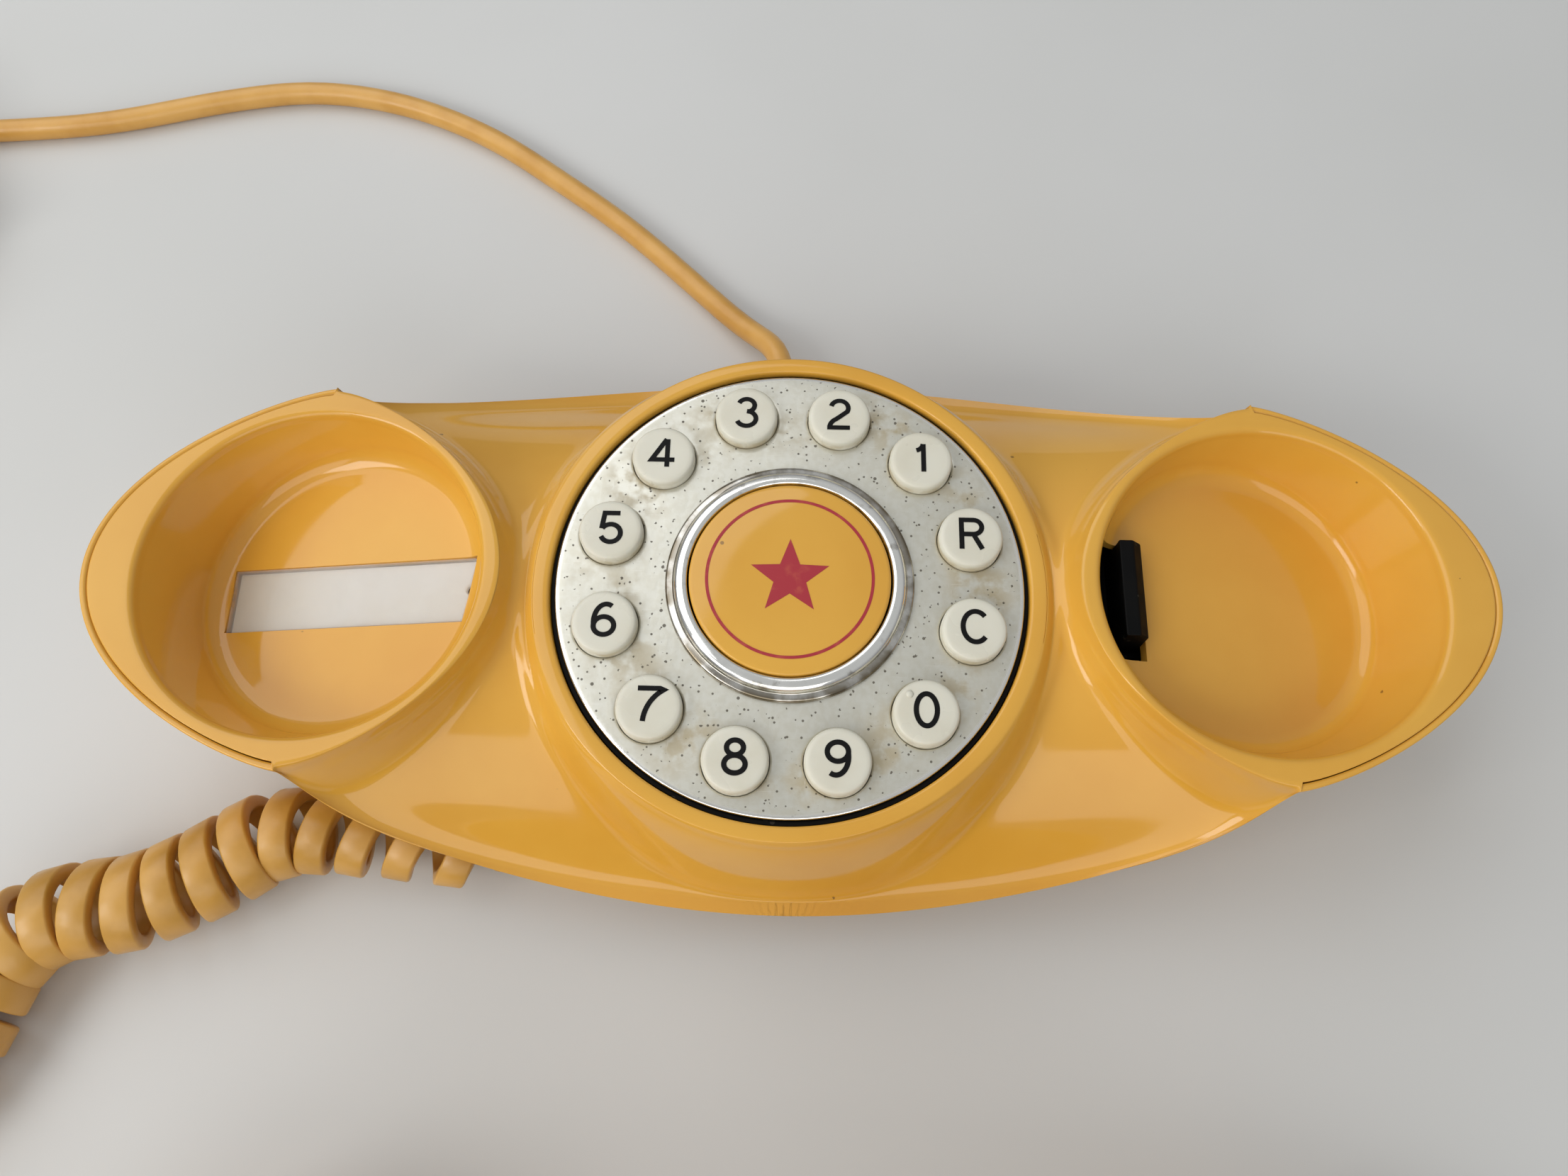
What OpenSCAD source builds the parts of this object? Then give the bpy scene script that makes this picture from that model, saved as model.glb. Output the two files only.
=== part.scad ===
// Desk telephone with a boat-shaped body, a round push-button dial and two cups that hold its handset.
// Heights inside the body are counted down from the plane of the two cup rims (z = 0 there).

/* [Body] */
// Height of the cup rims above the table
rim_h = 40; // [39:0.5:44]
// Distance between the centres of the two cups
cup_span = 154.3; // [153:0.1:158]
// Half width of the body at its middle, along the parting line
waist_y = 48; // [47.5:0.5:51]
// Width of the rim beside a cup's opening, at its two pointed corners
corner_rim = 5.1; // [4.8:0.1:6.5]
// Width of the rim at the tip of the body
tip_rim = 8.8; // [7.5:0.1:10]
// Width of the rim on the side that faces the dial
ridge_rim = 3.1; // [3:0.1:4]
// How far the parting line dips below the rims at the middle
dip = 28; // [27:0.25:29]
// How far the saddle between cup and dial lies below the rims
saddle_drop = 6; // [4:0.25:7.5]
// Wall of the moulded shells
wall = 2.4; // [2:0.1:2.6]
// Clearance between the two shells along the parting line
seam_gap = 0.3; // [0.2:0.05:0.5]
// Width of the lower shell's strip that shows around each tip
strip_w = 1.1; // [0.9:0.1:1.5]
// Length of the flat that the body stands on
base_len = 132; // [126:1:138]
// Width of the flat that the body stands on
base_wid = 62; // [58:1:66]

/* [Cups] */
// Radius of the cup openings
cup_r = 27.5; // [27:0.1:27.7]
// Rounding of the cup's mouth
lip_r = 1.1; // [0.6:0.1:1.4]
// Depth of the cup at its centre
cup_depth = 11.5; // [10.5:0.25:12.5]
// Slope of the cup floor, falling outward, in degrees
cup_slope = 12; // [9:0.5:13]
// Radius of the flat part of the cup floor
floor_r = 22; // [21:0.25:22.5]
// How far the flat of the floor sits toward the dial
floor_shift = 2.5; // [1.5:0.25:3]

/* [Dial] */
// Radius of the silver dial plate
plate_r = 38; // [37.5:0.1:38.5]
// Thickness of the dial plate
plate_t = 1.6; // [1.4:0.1:2]
// Rise of the dial plate's dome
plate_dome = 0.8; // [0.4:0.1:1.2]
// Width of the dark gap around the dial plate
dial_gap = 0.9; // [0.7:0.1:1.2]
// Drop of the turret's collar below the rims
collar_drop = 2.8; // [2.2:0.1:3.2]
// Width of the collar around the gap
collar_w = 2.7; // [2.4:0.1:3]
// Radius of the circle of keys
key_ring_r = 30.3; // [30:0.1:31]
// Diameter of a key cap
key_d = 10.4; // [10:0.1:10.8]
// Clearance between a key and the plate, all round
key_gap = 0.15; // [0.1:0.05:0.3]
// Height of a key cap over the plate's edge
key_rise = 2.6; // [2.2:0.1:3]
// Travel of a key
key_travel = 1.5; // [1:0.1:1.8]
// Outer radius of the chrome ring
ring_r = 20.1; // [19.8:0.1:20.8]
// Height of the chrome ring over the plate
ring_h = 2.4; // [2:0.1:2.8]
// Radius of the centre disc
disc_r = 16.2; // [15.8:0.1:16.6]
// Gap around the centre disc
disc_gap = 0.3; // [0.2:0.05:0.5]

/* [Hook plunger] */
// Width of the plunger block, across the dial's direction
hook_w = 4; // [3.6:0.1:4.4]
// Length of the plunger block, along the cup wall
hook_len = 16.5; // [15:0.5:17.5]
// Clearance around the plunger in its slot
hook_gap = 0.3; // [0.2:0.05:0.5]
// Travel of the plunger
hook_travel = 3.5; // [2.5:0.25:3.75]
// Wire of the plunger's spring
spring_wire = 0.6; // [0.4:0.1:0.8]
// Diameter of the plunger's spring
spring_d = 4.4; // [4:0.1:4.8]

/* [Label] */
// Length of the label window
label_l = 44; // [42:0.5:45]
// Width of the label window
label_w = 11.1; // [10.5:0.1:12]
// Thickness of the clear window
window_t = 1; // [0.8:0.1:1.1]
// Thickness of the label card
card_t = 0.3; // [0.2:0.05:0.35]
// Clearance around the window in its pocket
label_gap = 0.1; // [0.05:0.05:0.2]

/* [Inside] */
// Thickness of the circuit boards
board_t = 1.6; // [1.2:0.1:2]
// Length of the main board
board_l = 62; // [56:1:64]
// Width of the main board
board_w = 46; // [42:1:48]
// Thickness of the ballast plate
ballast_t = 4; // [3:0.25:4.25]
// Length of the ballast plate
ballast_l = 60; // [50:1:62]
// Width of the ballast plate
ballast_w = 30; // [24:1:32]
// Diameter of the ringer
ringer_d = 27; // [22:0.5:28]
// Height of the ringer
ringer_h = 6; // [5:0.25:6.5]
// Shank diameter of the cover screws
screw_d = 3; // [2.5:0.1:3.2]
// Head diameter of the cover screws
screw_head_d = 5.6; // [5:0.1:6]
// Diameter of the rubber feet
foot_d = 10; // [8:0.5:11]
// Height of the rubber feet
foot_h = 2; // [1.6:0.1:2.5]

/* [Handset] */
// Play of the handset's round caps in the cups, all round
cap_play = 3; // [2.7:0.1:4]
// Height of the caps under the handset's rims
cap_h = 8; // [7:0.25:8.5]
// Height of the grip's arch over the handset's rims
arch_h = 27; // [25:0.5:32]
// Thickness of the grip at its middle
grip_t = 19; // [18:0.5:22]
// Half width of the grip at its middle
grip_w = 14; // [13:0.25:16]
// Height of the handset over the centre of a cap
pod_h = 25; // [24:0.5:27]
// Diameter of the receiver and microphone capsules
capsule_d = 30; // [26:0.5:31]
// Thickness of the capsules
capsule_t = 7; // [6:0.25:8]

/* [Cords] */
// Diameter of the round line cord
line_d = 4.7; // [4.5:0.1:5]
// Outer diameter of the curly cord
curl_d = 16.4; // [15:0.2:17]
// Mean radius of the coil of spare line cord
coil_r = 27; // [26:0.5:28]
// Width of the coil's bundle of turns
coil_w = 14.4; // [14:0.2:15]
// Height of the coil's bundle of turns
coil_h = 18; // [17:0.5:19]
// Length of the line plug's body
plug_l = 36; // [34:1:40]
// Width of the line plug's body
plug_w = 24; // [22:1:26]
// Height of the line plug's body
plug_h = 18; // [16:1:20]

/* [Hidden] */

$fn = 64;
eps = 0.01;
fine = 96;

body_yellow = [0.9, 0.67, 0.31];
key_ivory = [0.86, 0.85, 0.79];
plate_silver = [0.8, 0.79, 0.74];
soft_black = [0.06, 0.06, 0.06];

cup_x = cup_span / 2;
corner_y = cup_r + corner_rim;
tip_out = cup_r + tip_rim;
ridge_in = cup_r + ridge_rim;
cap_r = cup_r - cap_play;
base_z = foot_h - rim_h;
floor_top_z = base_z + wall;
nose_power = 1.3;
seam_power = 2.6;
hull_turn = 1;

// Key names and the angle of each on the dial, counter-clockwise from the right
KEYS = ["r", "1", "2", "3", "4", "5", "6", "7", "8", "9", "0", "c"];
key_step = 360 / len(KEYS);
first_key_angle = key_step / 2;

function sgn(v) = v < 0 ? -1 : 1;
function mix(a, b, t) = a + (b - a) * t;
function key_angle(i) = first_key_angle + key_step * i;
function polar(r, a) = [r * cos(a), r * sin(a)];

// Lemon outline of a cup: half width at the distance x from the cup's centre toward a nose at x = nose
function lemon_y(x, nose, corner) = corner * sqrt(max(0, 1 - pow(min(1, abs(x) / nose), nose_power)));
// The same outline as a point, for an angle from the corner (0) to the nose (90)
function lemon_at(a, nose, corner) = [nose * pow(abs(sin(a)), 2 / nose_power) * sgn(sin(a)), corner * cos(a)];

// Half width of the body on the parting line, and the line's height, for x measured from the dial
function span(x) = min(1, abs(x) / cup_x);
function seam_y(x) = waist_y - (waist_y - corner_y) * (0.78 * pow(span(x), 2) + 0.22 * pow(span(x), 12));
function seam_z(x) = -dip * sqrt(max(0, 1 - pow(span(x), seam_power)));

// Turret flank: falls from the collar's edge to the parting line in a steep flare
collar_r = plate_r + dial_gap + collar_w;
flare_w = waist_y - collar_r;
function flank_z(r) = -collar_drop - (dip - collar_drop) * pow(max(0, r - collar_r) / flare_w, 1.6);

// Smooth upper blend of two heights; k is the size of the fillet between them
function blend_up(a, b, k) = max(a, b) + k * ln(1 + exp(-abs(a - b) / k));
saddle_blend = 1.8;
edge_power = 12;

// Height of the saddle skin at (x, y), moved inward by t
function saddle_z(x, v) =
    let (crest = -saddle_drop * (1 - pow(span(x), 3)))
    crest + (seam_z(x) - crest) * pow(abs(v), 2.2);
function skin_z(x, y, t) =
    let (
        half = seam_y(x) - t,
        v = min(1, abs(y) / half),
        arch = saddle_z(x, v),
        turret = min(flank_z(norm([x, y]) + t), -collar_drop - 1),
        both = blend_up(arch, turret, saddle_blend),
        low = seam_z(x)
    )
    low + (both - low) * (1 - pow(v, edge_power)) - t;

// Closed body from a list of rings with equal numbers of points, each end closed to its own middle.
// sink moves that middle down, toward the ring's lowest point
module skin(rings, sink = 0) {
    n = len(rings[0]);
    m = len(rings);
    centres = [centre_of(rings[0], sink), centre_of(rings[m - 1], sink)];
    points = concat([for (ring = rings) each ring], centres);
    sides = [for (i = [0:m - 2]) for (j = [0:n - 1])
        let (k = (j + 1) % n)
        each [[i * n + j, i * n + k, (i + 1) * n + k], [i * n + j, (i + 1) * n + k, (i + 1) * n + j]]];
    first_end = [for (j = [0:n - 1]) [(j + 1) % n, j, m * n]];
    last_end = [for (j = [0:n - 1]) [(m - 1) * n + j, (m - 1) * n + (j + 1) % n, m * n + 1]];
    polyhedron(points, concat(sides, first_end, last_end), convexity = 6);
}
function mean_of(list) = sum_of(list) / len(list);
function centre_of(ring, sink) =
    let (middle = mean_of(ring), lowest = min([for (p = ring) p[2]]))
    [middle[0], middle[1], mix(middle[2], lowest, sink)];
function sum_of(list, i = 0) = i < len(list) - 1 ? list[i] + sum_of(list, i + 1) : list[i];

// ---------------------------------------------------------------- shells

saddle_stations = 34;
saddle_rows = 20;
function station_x(i, n, half) = half * sin(mix(-90, 90, i / n));
// One slice of the saddle across x: its skin, moved inward by t, from front to back
function saddle_slice(x, t, rows) = [for (j = [0:rows])
    let (v = sin(mix(-90, 90, j / rows)), y = v * (seam_y(x) - t))
    [x, y, skin_z(x, y, t)]];
// Solid between the skin and the parting surface
module saddle_outer() {
    half = cup_x - 0.3;
    n = saddle_stations;
    skin([for (i = [0:n]) saddle_slice(station_x(i, n, half), 0, saddle_rows)], 0.9);
}
// The hollow under the skin
module saddle_inner() {
    half = cup_x - wall - 1;
    under = -dip - 8;
    n = floor(saddle_stations * 0.6);
    skin([for (i = [0:n])
        let (x = station_x(i, n, half), y = seam_y(x) - wall)
        concat(saddle_slice(x, wall, 12), [[x, y, under], [x, -y, under]])]);
}

// Outline of the whole body in plan at the rims: two lemon tips joined by the parting line's sides
lemon_steps = 9;
side_steps = 20;
function tip_arc(side, inset) = [for (i = [0:lemon_steps])
    let (
        a = mix(0, 180, i / lemon_steps),
        p = lemon_at(a > 90 ? 180 - a : a, tip_out - inset, corner_y - inset)
    )
    [side * (cup_x + p[0]), side * (a > 90 ? p[1] : -p[1])]];
function side_arc(side, inset) = [for (i = [1:side_steps - 1])
    let (x = station_x(i, side_steps, cup_x))
    [-side * x, side * (seam_y(x) - inset)]];
function body_loop(inset) = concat(
    tip_arc(1, inset), side_arc(1, inset), tip_arc(-1, inset), side_arc(-1, inset));
function rim_line_z(p) = abs(p[0]) < cup_x ? seam_z(p[0]) : 0;

// Everything that lies more than the seam's clearance below the parting surface
far = 60;
parting_steps = 36;
module under_parting() {
    line = [for (i = [0:parting_steps])
        let (x = station_x(i, parting_steps, cup_x))
        [x, seam_z(x) - seam_gap]];
    rotate([90, 0, 0])
        linear_extrude(height = 4 * far, center = true)
            polygon(concat([[-3 * far, -seam_gap]], line,
                [[3 * far, -seam_gap], [3 * far, -far], [-3 * far, -far]]));
}

module lemon(inner, outer, corner) {
    n = 2 * lemon_steps;
    out_side = [for (i = [0:n]) lemon_at(90 * i / n, outer, corner)];
    in_side = [for (i = [0:n]) lemon_at(90 * i / n, inner, corner)];
    polygon(concat(
        out_side,
        [for (i = [n:-1:0]) [out_side[i][0], -out_side[i][1]]],
        [for (p = in_side) -p],
        [for (i = [n:-1:0]) [-in_side[i][0], in_side[i][1]]]));
}
module at_cup(side) {
    translate([side * cup_x, 0, 0])
        mirror([side < 0 ? 1 : 0, 0, 0])
            children();
}

// Cup surface, turned about the cup's centre; x counts outward. t moves the surface outward by a wall.
floor_fillet = 3.5;
cup_sides = 36;
function cup_floor_z(x) = -cup_depth - x * tan(cup_slope);
function cup_ring(r, shift, lift_z, t) = [for (j = [0:cup_sides - 1])
    let (a = 360 * j / cup_sides, x = r * cos(a) - shift)
    [x, r * sin(a), lift_z == undef ? cup_floor_z(x) - t : lift_z]];
function cup_wall_ring(q, t) = [for (j = [0:cup_sides - 1])
    let (
        a = 360 * j / cup_sides,
        foot_r = floor_r + floor_fillet * 0.8,
        top = [(cup_r - lip_r * 0.3) * cos(a), (cup_r - lip_r * 0.3) * sin(a), -lip_r],
        foot_x = foot_r * cos(a) - floor_shift,
        foot = [foot_x, foot_r * sin(a), cup_floor_z(foot_x) + floor_fillet * 0.5],
        p = mix(top, foot, q)
    )
    [p[0] + t * cos(a), p[1] + t * sin(a), p[2] - t * q * 0.6]];
function cup_lip_rings(above) = [
    cup_ring(cup_r + lip_r, 0, above, 0),
    cup_ring(cup_r + lip_r * 0.8, 0, -lip_r * 0.1, 0),
    cup_ring(cup_r + lip_r * 0.15, 0, -lip_r * 0.5, 0)];
function cup_rings(t) = concat(
    t > 0 ? [cup_ring(cup_r + t, 0, -lip_r / 2, t)] : cup_lip_rings(1),
    [cup_wall_ring(0, t),
    cup_wall_ring(0.5, t),
    cup_wall_ring(1, t),
    cup_ring(floor_r, floor_shift, undef, t)]);

// Slot in the right cup's wall and floor for the plunger
hook_from_wall = 8.3;
hook_x = cup_x - cup_r + hook_from_wall;
hook_back_x = cup_x - cup_r + 0.4;
hook_y = 0.6;
hook_top_z = -3;
hook_slot_extra = 3;
module hook_slot() {
    from = hook_back_x - wall;
    translate([from, hook_y - hook_len / 2 - hook_slot_extra, -cup_depth - 8])
        cube([hook_x + hook_gap - from, hook_len + hook_slot_extra + hook_gap, cup_depth + 8 - lip_r * 1.2]);
}

// The label lies in the left cup's floor; its frame has x along the slope and z out of the floor
label_from = -19;
label_mid_y = -0.85;
module on_label_floor() {
    translate([-cup_x, 0, -cup_depth])
        rotate([0, -cup_slope, 0])
            translate([label_from / cos(cup_slope), label_mid_y, 0])
                children();
}
pocket_d = window_t + card_t + label_gap;

// Cover bosses take the four screws that come up through the lower shell
boss_x = 38.5;
boss_y = 21;
boss_d = screw_d + 4;
boss_split_z = -22;
module at_bosses() {
    for (sx = [-1, 1])
        for (sy = [-1, 1])
            translate([sx * boss_x, sy * boss_y, 0])
                children();
}

// The key carrier's neck fills the gap around the dial plate and its flange seats under the collar
collar_t = 2.4;
neck_r = plate_r + dial_gap - 0.2;
flange_r = plate_r + dial_gap + 1.2;
ear_w = 18;
ear_top_z = -saddle_drop - wall - 0.8;

module top_cover() {
    color(body_yellow)
        translate([0, 0, rim_h])
            difference() {
                union() {
                    difference() {
                        saddle_outer();
                        saddle_inner();
                    }
                    for (side = [-1, 1])
                        at_cup(side)
                            translate([0, 0, -wall])
                                linear_extrude(height = wall)
                                    lemon(ridge_in, tip_out - strip_w - seam_gap, corner_y - 0.4);
                    translate([0, 0, -collar_drop - collar_t])
                        rotate_extrude($fn = fine)
                            collar_profile();
                    for (side = [-1, 1])
                        at_cup(side)
                            skin(cup_rings(wall));
                    at_bosses()
                        translate([0, 0, boss_split_z])
                            cylinder(h = boss_roof_z - boss_split_z, d = boss_d);
                }
                for (side = [-1, 1])
                    at_cup(side)
                        skin(cup_rings(0));
                translate([0, 0, -far])
                    cylinder(h = 2 * far, r = plate_r + dial_gap, $fn = fine);
                hook_slot();
                on_label_floor()
                    translate([0, -label_w / 2 - label_gap, -pocket_d])
                        cube([label_l + 2 * label_gap, label_w + 2 * label_gap, 8]);
                at_bosses()
                    translate([0, 0, boss_split_z - eps])
                        cylinder(h = screw_bite, d = screw_d - 0.1);
            }
}
boss_roof_z = skin_z(boss_x, boss_y, wall) + 1;
screw_bite = 8;
module collar_profile() {
    inner = plate_r + dial_gap;
    polygon([[inner, 0], [collar_r - 0.4, 0], [collar_r, 0.6], [collar_r, collar_t - 0.9],
        [collar_r - 0.4, collar_t - 0.3], [collar_r - 1, collar_t], [inner + 0.4, collar_t],
        [inner, collar_t - 0.4]]);
}

// Lower shell: a hull that turns in under the parting line to the flat base
hull_rings = 8;
hull_tip_turn = 2.7;
function hull_power(p) = mix(hull_turn, hull_tip_turn, max(0, min(1, (abs(p[0]) / cup_x - 0.72) / 0.55)));
function hull_point(p, q, inset) =
    let (
        base = [p[0] * (base_len / 2 - inset) / (cup_x + tip_out), p[1] * (base_wid / 2 - inset) / waist_y],
        top_z = rim_line_z(p),
        low_z = base_z + inset,
        out = 1 - pow(q, hull_power(p)),
        flat = mix(base, p, out)
    )
    [flat[0], flat[1], mix(top_z, low_z, q)];
module hull_body(inset, rings, rise) {
    loop = body_loop(inset);
    skin(concat(
        [[for (p = loop) [p[0], p[1], rim_line_z(p) + rise]]],
        [for (i = [0:rings]) [for (p = loop) hull_point(p, i / rings, inset)]]));
}

foot_x = 40;
foot_y = 17;
foot_seat = 0.6;
module at_feet() {
    for (sx = [-1, 1])
        for (sy = [-1, 1])
            translate([sx * foot_x, sy * foot_y, 0])
                children();
}
post_x = board_l / 2 - 4;
post_y = board_w / 2 - 3.5;
post_d = 5;
board_z = floor_top_z + ballast_t + 2.5;
module at_posts() {
    for (sx = [-1, 1])
        for (sy = [-1, 1])
            translate([sx * post_x, sy * post_y, 0])
                children();
}
shell_boss_d = screw_head_d + 2.4;
head_seat_z = base_z + 3;

module bottom_shell() {
    color(body_yellow)
        translate([0, 0, rim_h])
            difference() {
                union() {
                    intersection() {
                        difference() {
                            hull_body(0, hull_rings, 3);
                            hull_body(wall, 6, 4);
                        }
                        under_parting();
                    }
                    at_bosses()
                        translate([0, 0, base_z])
                            cylinder(h = boss_split_z - seam_gap - base_z, d = shell_boss_d);
                    at_posts()
                        translate([0, 0, floor_top_z - eps])
                            cylinder(h = board_z - floor_top_z + eps, d = post_d);
                    intersection() {
                        union() {
                            exit_boss(line_exit, line_heading, line_hole_d + 4);
                            exit_boss(curl_exit, curl_heading, curl_hole_d + 4);
                        }
                        under_parting();
                    }
                }
                for (side = [-1, 1])
                    at_cup(side) {
                        translate([0, 0, -wall - 2 * seam_gap])
                            linear_extrude(height = 8)
                                lemon(ridge_in + 4, tip_out - strip_w, corner_y - 0.2);
                        skin(cup_rings(wall + seam_gap));
                    }
                at_bosses() {
                    translate([0, 0, base_z - eps])
                        cylinder(h = head_seat_z - base_z, d = screw_head_d + 0.4);
                    translate([0, 0, base_z - eps])
                        cylinder(h = -base_z, d = screw_d + 0.4);
                }
                at_feet()
                    translate([0, 0, base_z - eps])
                        cylinder(h = foot_seat, d = foot_d + 0.2);
                exit_hole(line_exit, line_heading, line_hole_d);
                exit_hole(curl_exit, curl_heading, curl_hole_d);
            }
}

// ---------------------------------------------------------------- dial

plate_edge_z = -collar_drop - 0.2;
plate_under_z = plate_edge_z - plate_t;
key_top_z = plate_edge_z + key_rise;
key_edge_r = 0.9;
plate_crown = (plate_r * plate_r + plate_dome * plate_dome) / (2 * plate_dome);
function plate_top_z(r) = plate_edge_z + plate_dome - (plate_crown - sqrt(plate_crown * plate_crown - r * r));

module at_keys() {
    for (i = [0:len(KEYS) - 1])
        translate(concat(polar(key_ring_r, key_angle(i)), [0]))
            children();
}

module dial_plate() {
    color(plate_silver)
        translate([0, 0, rim_h])
            difference() {
                rotate_extrude($fn = fine)
                    polygon(concat([[0, plate_under_z], [plate_r, plate_under_z],
                        [plate_r, plate_edge_z - 0.5], [plate_r - 0.5, plate_top_z(plate_r - 0.5)]],
                        [for (i = [1:6]) let (r = (plate_r - 0.5) * (1 - i / 6)) [r, plate_top_z(r)]]));
                at_keys()
                    translate([0, 0, plate_under_z - 1])
                        cylinder(h = plate_t + plate_dome + 2, d = key_d + 2 * key_gap);
            }
}

key_flange_t = 1;
key_flange_d = key_d + 2;
key_flange_z = plate_under_z - 0.3;
key_stem_d = 5;
web_z = key_flange_z - key_flange_t - key_travel - 0.4;
web_t = 1.2;
stem_end_z = web_z - web_t - 0.3;
mat_dome_z = stem_end_z - key_travel - 0.3;
mat_dome_h = 0.8;
mat_t = 1;
mat_r = plate_r - 2.2;
board_r = plate_r - 1.8;
key_board_z = mat_dome_z - mat_dome_h - mat_t - board_t;
carrier_in_r = plate_r - 1.1;

module carrier_body() {
    foot_z = key_board_z - 1;
    rotate_extrude($fn = fine)
        polygon([[0, web_z], [carrier_in_r, web_z], [carrier_in_r, plate_under_z],
            [plate_r + 0.15, plate_under_z], [plate_r + 0.15, plate_edge_z - 1.2],
            [neck_r, plate_edge_z - 1.2], [neck_r, foot_z], [board_r + 0.2, foot_z],
            [board_r + 0.2, web_z - web_t], [0, web_z - web_t]]);
}
// Two ears that bear on the underside of the cover, left and right of the dial
module carrier_ears() {
    intersection() {
        translate([0, 0, ear_top_z - 1.4])
            difference() {
                cylinder(h = 1.4, r = flange_r, $fn = fine);
                cylinder(h = 3, r = neck_r - 0.5, center = true, $fn = fine);
            }
        cube([3 * flange_r, ear_w, far], center = true);
    }
}
module key_carrier() {
    color(soft_black)
        translate([0, 0, rim_h])
            difference() {
                union() {
                    carrier_body();
                    carrier_ears();
                }
                at_keys()
                    translate([0, 0, web_z - web_t - 1])
                        cylinder(h = web_t + 2, d = key_stem_d + 0.3);
                carrier_screw_places()
                    translate([0, 0, web_z - web_t - eps])
                        cylinder(h = web_t / 2, d = small_screw_d - 0.2);
            }
}
small_screw_d = 2;
small_head_d = 3.6;
carrier_screw_r = key_ring_r - key_d;
module carrier_screw_places() {
    for (a = [0:120:240])
        rotate([0, 0, a])
            translate([carrier_screw_r, 0, 0])
                children();
}

module centre_ring() {
    inner = disc_r + disc_gap;
    rise = ring_h;
    color("silver")
        translate([0, 0, rim_h + plate_top_z(ring_r) - plate_dome * 0.05])
            rotate_extrude($fn = fine)
                difference() {
                    polygon([[inner, 0], [ring_r, 0], [ring_r, rise * 0.25], [ring_r - 0.5, rise * 0.4],
                        [ring_r - 1.1, rise * 0.42], [ring_r - 1.3, rise * 0.7], [ring_r - 2, rise * 0.94],
                        [ring_r - 2.6, rise], [inner + 0.3, rise * 0.96], [inner, rise * 0.85]]);
                    translate([inner - 1, -1])
                        square([ring_r, 1 + plate_dome * 0.3]);
                }
}

disc_under_z = plate_edge_z + plate_dome + 0.02;
module centre_disc() {
    color(body_yellow)
        translate([0, 0, rim_h + disc_under_z])
            rotate_extrude($fn = fine)
                polygon([[0, 0], [disc_r, 0], [disc_r, ring_h - 0.6], [disc_r - 0.3, ring_h - 0.3],
                    [0, ring_h - 0.3]]);
}

module key(i) {
    bottom = key_flange_z - key_flange_t;
    color(key_ivory)
        translate(concat(polar(key_ring_r, key_angle(i)), [rim_h]))
            rotate_extrude($fn = 48)
                polygon([[0, stem_end_z], [key_stem_d / 2, stem_end_z], [key_stem_d / 2, bottom],
                    [key_flange_d / 2, bottom], [key_flange_d / 2, key_flange_z], [key_d / 2, key_flange_z],
                    [key_d / 2, key_top_z - key_edge_r],
                    [key_d / 2 - key_edge_r * 0.3, key_top_z - key_edge_r * 0.3],
                    [key_d / 2 - key_edge_r, key_top_z], [0, key_top_z]]);
}

module key_mat() {
    color([0.45, 0.45, 0.47])
        translate([0, 0, rim_h + key_board_z + board_t])
            difference() {
                union() {
                    cylinder(h = mat_t, r = mat_r);
                    at_keys()
                        cylinder(h = mat_t + mat_dome_h, d = key_stem_d + 2);
                }
                carrier_screw_places()
                    translate([0, 0, -1])
                        cylinder(h = mat_t + 2, d = small_head_d);
            }
}

module key_board() {
    color([0.2, 0.42, 0.24])
        translate([0, 0, rim_h + key_board_z])
            difference() {
                cylinder(h = board_t, r = board_r);
                carrier_screw_places()
                    translate([0, 0, -1])
                        cylinder(h = board_t + 2, d = small_screw_d + 0.3);
            }
}

module key_board_screws() {
    reach = web_z - web_t - key_board_z;
    color("silver")
        carrier_screw_places()
            translate([0, 0, rim_h + key_board_z]) {
                translate([0, 0, -1.4])
                    cylinder(h = 1.4, d = small_head_d);
                translate([0, 0, -eps])
                    cylinder(h = reach + eps, d = small_screw_d - 0.3);
            }
}

// ---------------------------------------------------------------- hook plunger

hook_mid_x = hook_x - hook_w / 2;
hook_neck_z = cup_floor_z(hook_x - cup_x) - wall - 1.5;
hook_flange_t = 1.4;
hook_stem_d = 3;
bracket_z = hook_neck_z - hook_flange_t - hook_travel - 3.5;
hook_stem_end_z = bracket_z - 0.5;
module hook_plunger() {
    color(soft_black)
        translate([hook_mid_x, hook_y, rim_h]) {
            difference() {
                translate([-hook_w / 2, -hook_len / 2, hook_neck_z])
                    cube([hook_w, hook_len, hook_top_z - hook_neck_z]);
                translate([hook_w / 2, 0, hook_top_z])
                    rotate([0, 45, 0])
                        cube([2.4, hook_len + 2, 2.4], center = true);
            }
            translate([-hook_w / 2 - 1, -hook_len / 2 - 1, hook_neck_z - hook_flange_t])
                cube([hook_w + 2, hook_len + 2, hook_flange_t]);
            translate([0, 0, hook_stem_end_z])
                cylinder(h = hook_neck_z - hook_flange_t - hook_stem_end_z + eps, d = hook_stem_d);
        }
}

spring_top_z = hook_neck_z - hook_flange_t - 0.05;
spring_bottom_z = bracket_z + 0.05;
spring_turns = 3;
spring_points = 10;
function spring_centre(i) =
    let (
        n = spring_turns * spring_points,
        a = 360 * i / spring_points,
        low = spring_bottom_z + spring_wire / 2,
        high = spring_top_z - spring_wire / 2
    )
    [(spring_d - spring_wire) / 2 * cos(a), (spring_d - spring_wire) / 2 * sin(a), mix(low, high, i / n)];
module hook_spring() {
    color("silver")
        translate([hook_mid_x, hook_y, rim_h])
            skin([for (i = [0:spring_turns * spring_points])
                let (c = spring_centre(i), a = 360 * i / spring_points)
                [for (j = [0:5])
                    let (b = 60 * j)
                    c + spring_wire / 2 * [cos(b) * cos(a), cos(b) * sin(a), sin(b)]]]);
}

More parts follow.
